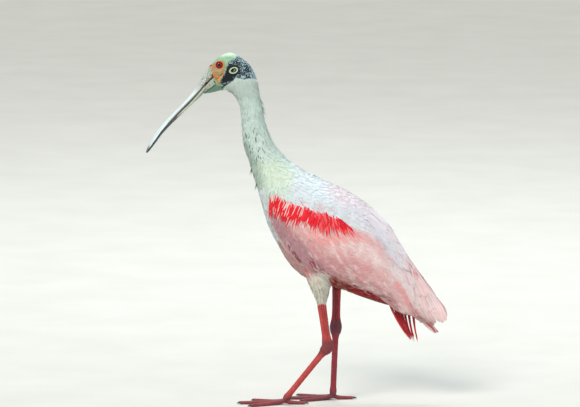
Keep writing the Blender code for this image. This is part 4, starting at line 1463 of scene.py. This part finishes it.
def join_vanes(name, vanes, shape, **look):
    """Join vanes that were laid one by one, each given as (path, (length, width), colour)."""
    paths, sizes, colours = zip(*vanes)
    path = tuple(np.array([one[k] for one in paths]) for k in range(3))
    look = {"colours": np.array(colours), **look}
    return add_vanes(name, path, np.array(sizes).T, shape, look)


def fan_feathers(rng, side):
    """The rows of one wing's long feathers and of the coverts over them."""
    vanes = []
    for count, depth, short, width, part in FEATHER_ROWS:
        for share in np.arange(count) / (count - 1):
            tip = along_line(TRAILING_EDGE, share) + rng.uniform(-1, 1, 2)
            angle = math.radians(np.interp(share, *FAN_ANGLES)) + rng.uniform(-0.02, 0.02)
            way = np.array([math.cos(angle), math.sin(angle)])
            tip = tip - way * short * rng.uniform(0.7, 1.2)
            length = np.interp(share, (0, 1), FAN_LENGTHS) * part
            bow = np.array([way[1], -way[0]]) * -3
            spots = [tip - way * length * (1 - t) + bow * math.sin(math.pi * t)
                     for t in np.linspace(0, 1, QUILL["rows"])]
            places, normals, ways = on_sheet(spots, side)
            sunk = (0.6 * depth + 0.9 * (1 - share) + 0.4 * rng.random() - 0.5) * MM
            places = places - normals * sunk
            places[:, 1] = side * np.maximum(places[:, 1] * side, LEAST_ASIDE * MM)
            size = (length, width * rng.uniform(0.9, 1.1))
            colour = markings(places[TONE_ROW : TONE_ROW + 1]) * rng.uniform(0.95, 1.04)
            colour = blend(colour, "#E9A29E", np.array([0.3 if depth > 0 else 0.25 * rng.random()]))
            if depth < 0:
                colour = blend(colour, "#F2E2DF", np.array([0.5 * rng.random()]))
            vanes.append(((places, normals, ways), size, colour[0]))
    return vanes


def ridge_feathers(rng, side):
    """The feathers along the top edge of one wing."""
    vanes = []
    for k in range(RIDGE_FEATHERS):
        start = max((0.5 * k + rng.uniform(-1, 1)) / RIDGE_FEATHERS, 0)
        outward = (-2.5, -5.0, -3.5)[k % 3] + rng.uniform(-0.7, 0.7)
        spots = [along_line(RIDGE, share) + np.array([0.82, 0.57]) * outward
                 for share in np.linspace(start, start + 0.48, QUILL["rows"])]
        places, normals, ways = on_sheet(spots, side)
        sunk = places - normals * rng.uniform(0.2, 1.2) * MM
        size = (np.linalg.norm(places[-1] - places[0]) / MM, 14 * rng.uniform(0.85, 1.1))
        colour = blend(markings(places[TONE_ROW : TONE_ROW + 1]), "#F0DEDE", np.array([0.5]))
        vanes.append(((sunk, normals, ways), size, colour[0] * rng.uniform(0.94, 1.03)))
    return vanes


def crown_feathers(rng):
    """The feathers over the gap between the wings, tilted to either side by turns."""
    vanes = []
    for k in range(CROWN_FEATHERS):
        shares = np.linspace(0, 0.46, QUILL["rows"]) + 0.5 * k / (CROWN_FEATHERS - 1)
        spots = np.array([along_line(RIDGE, share) for share in shares])
        lean = (-3.5, 0.0, 3.5)[k % 3]
        aside = np.full(len(spots), lean)
        places = np.stack([spots[:, 0], aside, spots[:, 1] - abs(lean) * 0.25], axis=1) * MM
        ways = unit(np.gradient(places, axis=0))
        normals = unit(np.cross(ways, (0, 1, 0)) + (0, lean * 0.15, 0))
        size = (np.linalg.norm(places[-1] - places[0]) / MM, 15)
        colour = linear("#E6D4D4") * rng.uniform(0.96, 1.04)
        vanes.append(((places + normals * 1.2 * MM, normals, ways), size, colour))
    return vanes


def long_feathers():
    rng = np.random.default_rng(101)
    vanes = []
    for side in (-1, 1):
        vanes += fan_feathers(rng, side)
        vanes += ridge_feathers(rng, side)
    vanes += crown_feathers(rng)
    join_vanes("long_feathers", vanes, QUILL, quill_colour=linear("#E58E90"), quill_share=0.35,
               root_shade=0.0, edge_light=0.1)


long_feathers()


# ------------------------------------------------------------------------------------------------
# Scapulars. Long white feathers on the rump lie over the roots of both wings' long feathers and close
# the gap between the wings along the ridge of the back.
# ------------------------------------------------------------------------------------------------
SCAPULAR = {"rows": 9, "columns": 5, "profile": rounded, "sink": -1.2, "rise": 1.0, "lift": 0.5,
            "droop": 0.06, "fray": 0.08, "quill": 0.1, "soft": 0.6}


def on_rump(points, normals):
    x, h = drawn(points)
    return (x > 104) & (x < 152) & (h > 262) & (np.abs(points[:, 1]) < 40 * MM) & (normals[:, 2] > 0.1)


lay_tract("scapulars", FORM.scatter(7.0, 111, on_rump), SCAPULAR, seed=112, length=56,
          width=13, spread=0.15, wander=5, tone=0.04)


# ------------------------------------------------------------------------------------------------
# Stray plumes. A few coloured feathers lie on the wing's fore edge and the back, singly or in small
# clumps: rose under the bend of the wing, painted dark as the shade there, and pink shafts on the back and
# the long feathers.
# ------------------------------------------------------------------------------------------------
# (colour, clump of feathers, width, root, tip), on the side drawing
# the first four colours, dark rose under the bend of the wing, are the plumes' own rose painted darker as
# painted shade
PLUMES = [
    ("#8E4753", 5, 3.5, (-24, 267), (4, 230)), ("#7A2F3C", 4, 3.0, (-7, 247), (6, 230)),
    ("#99424F", 5, 3.5, (11, 247), (29, 220)), ("#94505B", 5, 3.5, (24, 230), (44, 213)),
    ("#EBCFCB", 2, 1.8, (25, 232), (35, 220)), ("#EBCFCB", 2, 1.8, (35, 223), (44, 213)),
    ("#DE6A66", 3, 2.6, (6, 228), (22, 199)), ("#E8A7AE", 2, 1.8, (78, 337), (96, 321)),
    ("#E5909C", 3, 2.0, (105, 311), (130, 283)), ("#E8A8A8", 2, 2.2, (139, 250), (155, 231)),
    ("#E08A92", 1, 1.8, (183, 232), (189, 220)), ("#E57580", 1, 1.8, (183, 211), (184, 201)),
    ("#DE8490", 1, 1.8, (189, 219), (191, 206)), ("#DE8490", 2, 1.8, (192, 219), (197, 205)),
    ("#E8A0A2", 2, 2.4, (192, 198), (201, 183)), ("#E8A0A2", 2, 2.4, (202, 183), (217, 162)),
    ("#EFE1E0", 2, 1.6, (178, 238), (185, 214)), ("#EFE1E0", 2, 1.6, (187, 228), (194, 204)),
    ("#E28C96", 1, 1.5, (180, 226), (188, 206)), ("#EFE1E0", 2, 1.8, (150, 232), (166, 206)),
    ("#EFE1E0", 2, 1.8, (196, 204), (212, 178)), ("#EFE1E0", 2, 1.8, (184, 176), (200, 148)),
    ("#EFC9CB", 2, 2.0, (206, 176), (222, 150)), ("#EFE1E0", 2, 1.8, (212, 170), (232, 140)),
]
SHEET_START = 175  # x behind which a plume lies on the wing's sheet


def beside(x, h, side):
    """The place and normal on the form's side at a spot of the side drawing, or None past its outline."""
    hit = None
    guess = 40.0  # from the middle plane out to the form
    for _ in range(4):
        z = h + guess * DRAWN_LOWER
        start = Vector((x * MM, side * 0.2, z * MM))
        found, normal, _, _ = FORM.tree.ray_cast(start, Vector((0, -side, 0)))
        if found is None:
            return hit
        if found.y * side < -1 * MM:
            return hit
        guess = abs(found.y) / MM
        hit = (np.array(found), np.array(normal))
    return hit


def side_path(spots, side):
    """Places and normals along a line of the side drawing, carried on straight where it leaves the form."""
    places = []
    for x, h in spots:
        hit = beside(x, h, side)
        if hit is not None:
            places.append(hit[0])
        elif len(places) > 1:
            step = places[-1] - places[-2]
            run = x * MM - places[-1][0]
            drop = (h * MM + abs(places[-1][1]) * DRAWN_LOWER) - places[-1][2]
            slope = step[1] / max(abs(step[0]) + abs(step[2]), 1e-6)
            inward = slope * (abs(run) + abs(drop)) * 0.7
            places.append(places[-1] + np.array([run, inward, drop]))
        else:
            near, _ = FORM.touch(np.array([(x * MM, side * 20 * MM, h * MM)]))
            places.append(near[0])
    places = np.array(places)
    _, normals = FORM.touch(places)
    ways = unit(np.gradient(places, axis=0))
    normals = unit(normals - ways * (normals * ways).sum(axis=1, keepdims=True))
    return places, normals, ways


def stray_plumes():
    rng = np.random.default_rng(91)
    vanes = []
    for side in (-1, 1):
        for code, clump, width, root, tip in PLUMES:
            for _ in range(clump):
                shift = rng.uniform(-1, 1, 2) * (clump - 1) * 0.9
                start = np.array(root) + shift + rng.uniform(-2, 2, 2)
                end = np.array(tip) + shift * 0.8 + rng.uniform(-1.5, 1.5, 2)
                spots = [start + (end - start) * share for share in np.linspace(0, 1, HACKLE["rows"])]
                lay = on_sheet if root[0] > SHEET_START else side_path
                size = (np.linalg.norm(end - start), width * rng.uniform(0.8, 1.2))
                vanes.append((lay(spots, side), size, linear(code) * rng.uniform(0.88, 1.1)))
    join_vanes("stray_plumes", vanes, {**HACKLE, "rise": 0.25})


stray_plumes()


# ------------------------------------------------------------------------------------------------
# Thigh feathers. Short, woolly whitish feathers clothe each thigh down to the bare shin, where their
# tips hang over the skin in a ragged hem.
# ------------------------------------------------------------------------------------------------
THIGH_FEATHER = {"rows": 4, "columns": 3, "profile": pointed, "sink": -1.6, "rise": 0.5, "lift": 0.7,
                 "droop": 0.1, "fray": 0.0, "soft": 0.65}


def on_thigh(points, normals):
    x, h = drawn(points)
    z = points[:, 2] / MM
    hem = np.where(points[:, 1] < 0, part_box("shin_left")[1].z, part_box("shin_right")[1].z) / MM
    return (h < 204) & (x > 2) & (x < 80) & (z > hem + 7) & (normals[:, 2] > -0.9)


def thigh_flecks(points, colours, rng):
    """Greyish and pinkish tufts among the whitish ones."""
    chance = rng.random(len(points))
    colours = blend(colours, "#A7A88F", (chance < 0.25) * 0.5)
    return blend(colours, "#DDA794", (chance > 0.85) * 0.5)


lay_tract("thigh_feathers", FORM.scatter(2.0, 121, on_thigh), THIGH_FEATHER, seed=122,
          length=12, width=3.0, wander=16, tone=0.07, ruffle=1.6, recolour=thigh_flecks)


# ------------------------------------------------------------------------------------------------
# Tail. Twelve short, stiff tail feathers lie in a low roof under the wing tips, the middle pair on
# top. They are pale pinkish buff, and the outermost have a crimson edge.
# ------------------------------------------------------------------------------------------------
TAIL_ROOT = (164, 184)  # x and z
TAIL_TIP = (231, 116)
TAIL_PAIRS = 6
TAIL_SPREAD = (7, 13)  # from the middle plane to the outermost feather's root and tip
RECTRIX = {"rows": 10, "columns": 7, "profile": broad, "sink": -0.5, "rise": 0.3, "droop": 0.03,
           "fray": 0.02, "quill": 0.3, "soft": 0.3}


def tail_feathers():
    rng = np.random.default_rng(131)
    vanes = []
    t = np.linspace(0, 1, RECTRIX["rows"])[:, None]
    for side in (-1, 1):
        for k in range(TAIL_PAIRS + 1):
            edging = k == TAIL_PAIRS
            out = min(1.0, (k + 0.5) / TAIL_PAIRS)
            aside = side * out * np.array(TAIL_SPREAD)
            start = np.array([TAIL_ROOT[0], aside[0], TAIL_ROOT[1] - 5 * out])
            end = np.array([TAIL_TIP[0] - 4 * out, aside[1], TAIL_TIP[1] - 1.5 + 3 * out])
            bow = np.sin(math.pi * t) * np.array([1.2, 0, 1.2])
            ways = unit(np.tile(end - start, (len(t), 1)))
            over = unit(np.array([0.68, side * 0.9 * out, 0.72]))
            normals = unit(over - ways * (ways @ over)[:, None])
            if edging:
                start = start + (end - start) * 0.7
                end = end + (0, side * 2, 0)
            places = (start + (end - start) * t + bow) - normals * 0.6 * (TAIL_PAIRS - 2 if edging else k)
            size = (np.linalg.norm(end - start), 3.2 if edging else 14.5)
            colour = linear("#B8303C" if edging else "#E3CBC6") * rng.uniform(0.95, 1.04)
            vanes.append(((places * MM, normals, ways), size, colour))
    tail = join_vanes("tail_feathers", vanes, RECTRIX, quill_colour=linear("#D98E7C"), quill_share=0.5,
                      root_shade=-0.1)
    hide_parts("tail")


tail_feathers()


# ------------------------------------------------------------------------------------------------
# Undertail coverts. Long, loose crimson plumes hang under the tail. Damp has drawn them together into a
# few strands with gaps between.
# ------------------------------------------------------------------------------------------------
# (plumes, root, tip) of each strand on the left side, where root and tip are x, y and z
STRANDS = [(8, (148, -11, 166), (180, -13, 108)), (7, (155, -8, 164), (184, -9, 103)),
           (7, (160, -6, 162), (185, -6, 101.5)), (7, (166, -4, 162), (186, -4, 101.5)),
           (6, (172, -3, 162), (187, -3, 103)), (5, (180, -5, 160), (190.5, -5, 99)),
           (4, (188, -3, 156), (196, -4, 98))]
STRAND_SPREAD = 0.5
# (the chance below which a plume takes the colour, colour)
STRAND_TONES = [(0.12, "#EFC0BC"), (0.35, "#EE6468"), (0.9, "#DA2A36"), (2.0, "#A41220")]
PLUME = {"rows": 9, "columns": 3, "profile": pointed, "sink": 0.0, "rise": 0.0, "droop": 0.12, "fray": 0.0,
         "soft": 0.3}


def undertail_plumes():
    rng = np.random.default_rng(141)
    vanes = []
    t = np.linspace(0, 1, PLUME["rows"])[:, None]
    plumes = [(side, root, tip) for side in (-1, 1) for count, root, tip in STRANDS for _ in range(count)]
    for side, root, tip in plumes:
        root = np.array(root) * (1, -side, 1)
        tip = np.array(tip) * (1, -side, 1)
        end = tip + rng.normal(0, STRAND_SPREAD, 3)
        end[2] = max(end[2], 97.5) + rng.uniform(0, 4) ** 1.4
        start = root + rng.uniform(-1, 1, 3) * (2.5, 2, 2)
        middle = (root + tip) / 2 + np.array([-3, side * 2, -3]) + rng.normal(0, 0.5, 3)
        places = start * (1 - t) ** 2 + middle * 2 * t * (1 - t) + end * t**2
        ways = unit(np.gradient(places, axis=0))
        over = unit(np.array([-0.3, side * 1.0, -0.4]) + rng.normal(0, 0.35, 3))
        normals = unit(over - ways * (ways @ over)[:, None])
        size = (np.linalg.norm(end - start), rng.uniform(1.8, 2.8))
        chance = rng.random() + (0.12 if root[0] > 155 else 0)
        code = next(tone for limit, tone in STRAND_TONES if chance < limit)
        vanes.append(((places * MM, normals, ways), size, linear(code) * rng.uniform(0.9, 1.1)))
    # strong painted shade toward the plumes' roots, under the tail
    plumes = join_vanes("undertail_plumes", vanes, PLUME, root_shade=-0.5)
    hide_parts("undertail_coverts")


undertail_plumes()


# ------------------------------------------------------------------------------------------------
# Bill. Two long flat halves of cast resin, painted and satin varnished like horn, with a thin gap
# between them. The root is wrinkled, a groove follows each edge, and the tip widens to a spoon.
# ------------------------------------------------------------------------------------------------
BILL_GRAIN = 0.55
BILL_ROOT_END = -168  # x, past all that touches the head
SET_IN_REACH = 0.75  # how near the head a point has to be to be pushed in
SET_IN = 1.6
# (x, z) from the root to the tip, between the two halves
BILL_LINE = [(-138, 538), (-148.6, 526.4), (-155.8, 516.5), (-165.1, 505.3), (-175, 494.8), (-190.8, 479),
             (-207.2, 462.7), (-222.1, 446.5), (-233.3, 431.4), (-246, 412)]
SQUARE_UP = np.array([-0.718, 0.0, 0.696])  # square to the bill's middle stretch, toward the upper half
MOUTH_GAP = 0.2  # from the mouth line to each half's horny edge


def along_bill(points):
    """For each point, the way along the bill from 0 to 1, and the height above the mouth line."""
    # the line runs toward -X, so its own upper side is the bill's lower one
    along, under, length = way_along(points, BILL_LINE)
    return along / length, -under


def painted_horn():
    """Painted resin under a satin varnish: cool grey-green horn with fine growth lines and darker pits."""
    horn, shader = new_material(
        "painted_resin_horn",
        {"IOR": 1.5, "Specular IOR Level": 0.5, "Coat Weight": 0.25, "Coat Roughness": 0.25},
    )
    tint = add_node(horn, "VertexColor", {"layer_name": "tint"})
    mixed, clouds = speckled(horn, tint, 2.2, 4.0, 0.8, 1.12)
    place = add_node(horn, "TexCoord")
    pits = add_node(horn, "TexVoronoi", {"Scale": 1 / (1.0 * MM)}, [(place, "Object", "Vector")])
    bump = add_node(horn, "Bump", {"Strength": 0.3, "Distance": 0.15 * MM}, [(pits, "Distance", "Height")])
    gloss = add_node(horn, "MapRange", {**NOISE_SPAN, "To Min": 0.3, "To Max": 0.5},
                     [(clouds, "Fac", "Value")])
    drive(horn, mixed, "Vector", shader, "Base Color")
    drive(horn, bump, "Normal", shader, "Normal")
    drive(horn, gloss, "Result", shader, "Roughness")
    return horn


def set_in(points):
    """Push the bill's root a little way into the head, so that no gap shows round it."""
    head = BVHTree.FromPolygons(*solid_of("head"))
    for k in np.flatnonzero(points[:, 0] > BILL_ROOT_END * MM):
        spot, normal, _, gap = head.find_nearest(points[k])
        if gap < SET_IN_REACH * MM:
            points[k] = np.array(spot) - np.array(normal) * SET_IN * MM
    return points


def per_stretch(values, along, steps, pick, empty):
    """A value for each of many short stretches of the bill, picked from the points in it."""
    rows = [values[np.abs(along - step) < 0.02] for step in steps]
    return [pick(row) if len(row) else empty for row in rows]


def horn_colours(points, upper, along, rim, root, groove):
    """Grey-green horn: speckled root, a pale ridge above as a painted highlight, dark stretch below, a dark
    tip, and painted shade along the mouth edge.
    """
    cloud = mottle(points, 4 * MM, 154) + 0.5 * mottle(points, 1.6 * MM, 155)
    speck = mottle(points, 1.5 * MM, 156) + 0.7 * mottle(points, 0.8 * MM, 157)
    tip = ease(0.9, 0.96, along + 0.01 * cloud)
    if upper:
        colours = np.tile(linear("#AEB5AE"), (len(points), 1))
        colours = blend(colours, "#98A29B", ease(0.0, 0.9, cloud) * 0.5)
        # painted highlight: the upper half is painted a pale cyan-white above its mouth edge, as the light
        # on its top
        narrower = ease(0.2, 0.45, along)
        ridge = ease(1.6 - 1.4 * narrower, 3.0 - 2.0 * narrower, rim + 0.3 * cloud)
        colours = blend(colours, "#DFF0F4", ridge * ease(0.12, 0.28, along) * 0.92)
        colours = blend(colours, "#D9E2DC", root * ease(0.1, 0.7, speck) * 0.8)
        colours = blend(colours, "#33443E", root * ease(-0.4, -0.75, speck) * 0.9)
        # painted shade: brown along the upper half's mouth edge, as the shade in the gap between the halves
        colours = blend(colours, "#6B4034", ease(2.1, 1.0, rim) * ease(0.85, 0.5, along) * 0.8)
        colours = blend(colours, "#A5C4CC", groove * ease(0.3, 0.6, along) * 0.5)
    else:
        colours = np.tile(linear("#BBC8B6"), (len(points), 1))
        colours = blend(colours, "#97A592", ease(0.0, 0.9, cloud) * 0.5)
        colours = blend(colours, "#3A4A44", root * ease(-0.4, -0.75, speck) * 0.7)
        colours = blend(colours, "#4E625A", ease(3.2, 4.2, rim) * ease(0.45, 0.3, along) * 0.7)
        colours = blend(colours, "#1B3138", ease(0.44, 0.58, along + 0.02 * cloud) * 0.95)
        band = ease(0.62, 0.56, along) * ease(0.46, 0.52, along)
        colours = blend(colours, "#B9AC8E", ease(0.35, 0.7, speck) * band)
    colours = blend(colours, "#1E3A44", tip * 0.9)
    # painted shade: near black right at each half's mouth edge, along most of the bill
    return blend(colours, "#241A18", ease(0.8, 0.2, rim) * ease(0.95, 0.75, along) * 0.9)


def bill_half(node, name, upper, horn):
    points, quads = merged([solid_of(node)], BILL_GRAIN)
    points = relax(points, quads, 4)
    points = set_in(points)
    normals = normals_of(points, quads)
    along, above = along_bill(points)
    above = above if upper else -above
    width = np.abs(points[:, 1]) / MM
    steps = np.linspace(0, 1, 60)
    across = width / np.interp(along, steps, per_stretch(width, along, steps, np.max, 1.0))
    opening = np.interp(along, steps, per_stretch(above, along, steps, np.min, 0.0))
    rim = above - opening
    root = ease(0.26, 0.06, along)
    groove = np.exp(-(((across - 0.78) / 0.07) ** 2)) * ease(0.1, 0.3, along)
    outer = ease(0.1, 0.6, (normals[:, 2] - normals[:, 0]) * (0.7 if upper else -0.7))
    wrinkle = np.sin(along * 260 + 2.5 * mottle(points, 5 * MM, 151)) + 0.7 * mottle(points, 1.8 * MM, 152)
    lift = -0.35 * groove * outer + 0.22 * wrinkle * root + 0.12 * mottle(points, 6 * MM, 153)
    from_face = line_distance(points[:, 0] / MM, points[:, 2] / MM, FACE_EDGE)
    lift -= 0.5 * ease(5.0, 1.0, from_face) * (rim > 0.4)
    points = points + normals * (lift * MM)[:, None]
    # each half's horny edge stands toward the other, so that the mouth is a thin dark line
    middle = ease(0.14, 0.2, along) * ease(0.9, 0.8, along)
    closing = (opening - MOUTH_GAP).clip(0, 1.2) * ease(2.0, 0.4, rim) * middle
    points = points - SQUARE_UP * (closing * MM)[:, None] * (1 if upper else -1)
    colours = horn_colours(points, upper, along, rim, root, groove)
    mesh = make_mesh(name, points, quads.ravel(), np.full(len(quads), 4))
    paint(mesh, colours)
    piece = add_piece(name, mesh, horn)
    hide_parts(node)


HORN = painted_horn()
bill_half("bill_upper", "upper_bill", True, HORN)
bill_half("bill_lower", "lower_bill", False, HORN)


# ------------------------------------------------------------------------------------------------
# Claws. Eight small dark claws of cast resin, one on each toe, with rounded edges. Each root stands in
# a short sleeve of the leg's skin.
# ------------------------------------------------------------------------------------------------
CLAW_GRAIN = 0.3


def claw_horn():
    """Dark horn with growth lines: streaks of darker and paler brown, finely bumped."""
    horn, shader = new_material("cast_resin_claw", {"Roughness": 0.35, "IOR": 1.5, "Coat Weight": 0.2})
    place = add_node(horn, "TexCoord")
    streaks = add_node(horn, "TexNoise", {"Scale": 1 / (1.5 * MM), "Detail": 3.0},
                       [(place, "Object", "Vector")])
    ramp = add_node(horn, "ValToRGB", {}, [(streaks, "Fac", "Fac")])
    ramp.color_ramp.elements[0].color = (*linear("#241A18"), 1)
    ramp.color_ramp.elements[1].color = (*linear("#5A4640"), 1)
    bump = add_node(horn, "Bump", {"Strength": 0.2, "Distance": 0.1 * MM}, [(streaks, "Fac", "Height")])
    drive(horn, ramp, "Color", shader, "Base Color")
    drive(horn, bump, "Normal", shader, "Normal")
    return horn


def make_claw(node, horn):
    points, quads = merged([solid_of(node)], CLAW_GRAIN)
    points = relax(points, quads, 8)
    mesh = make_mesh("horn_" + node, points, quads.ravel(), np.full(len(quads), 4))
    piece = add_piece("horn_" + node, mesh, horn)
    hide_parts(node)


CLAW = claw_horn()
for node in list(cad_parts):
    if node.startswith("claw_"):
        make_claw(node, CLAW)
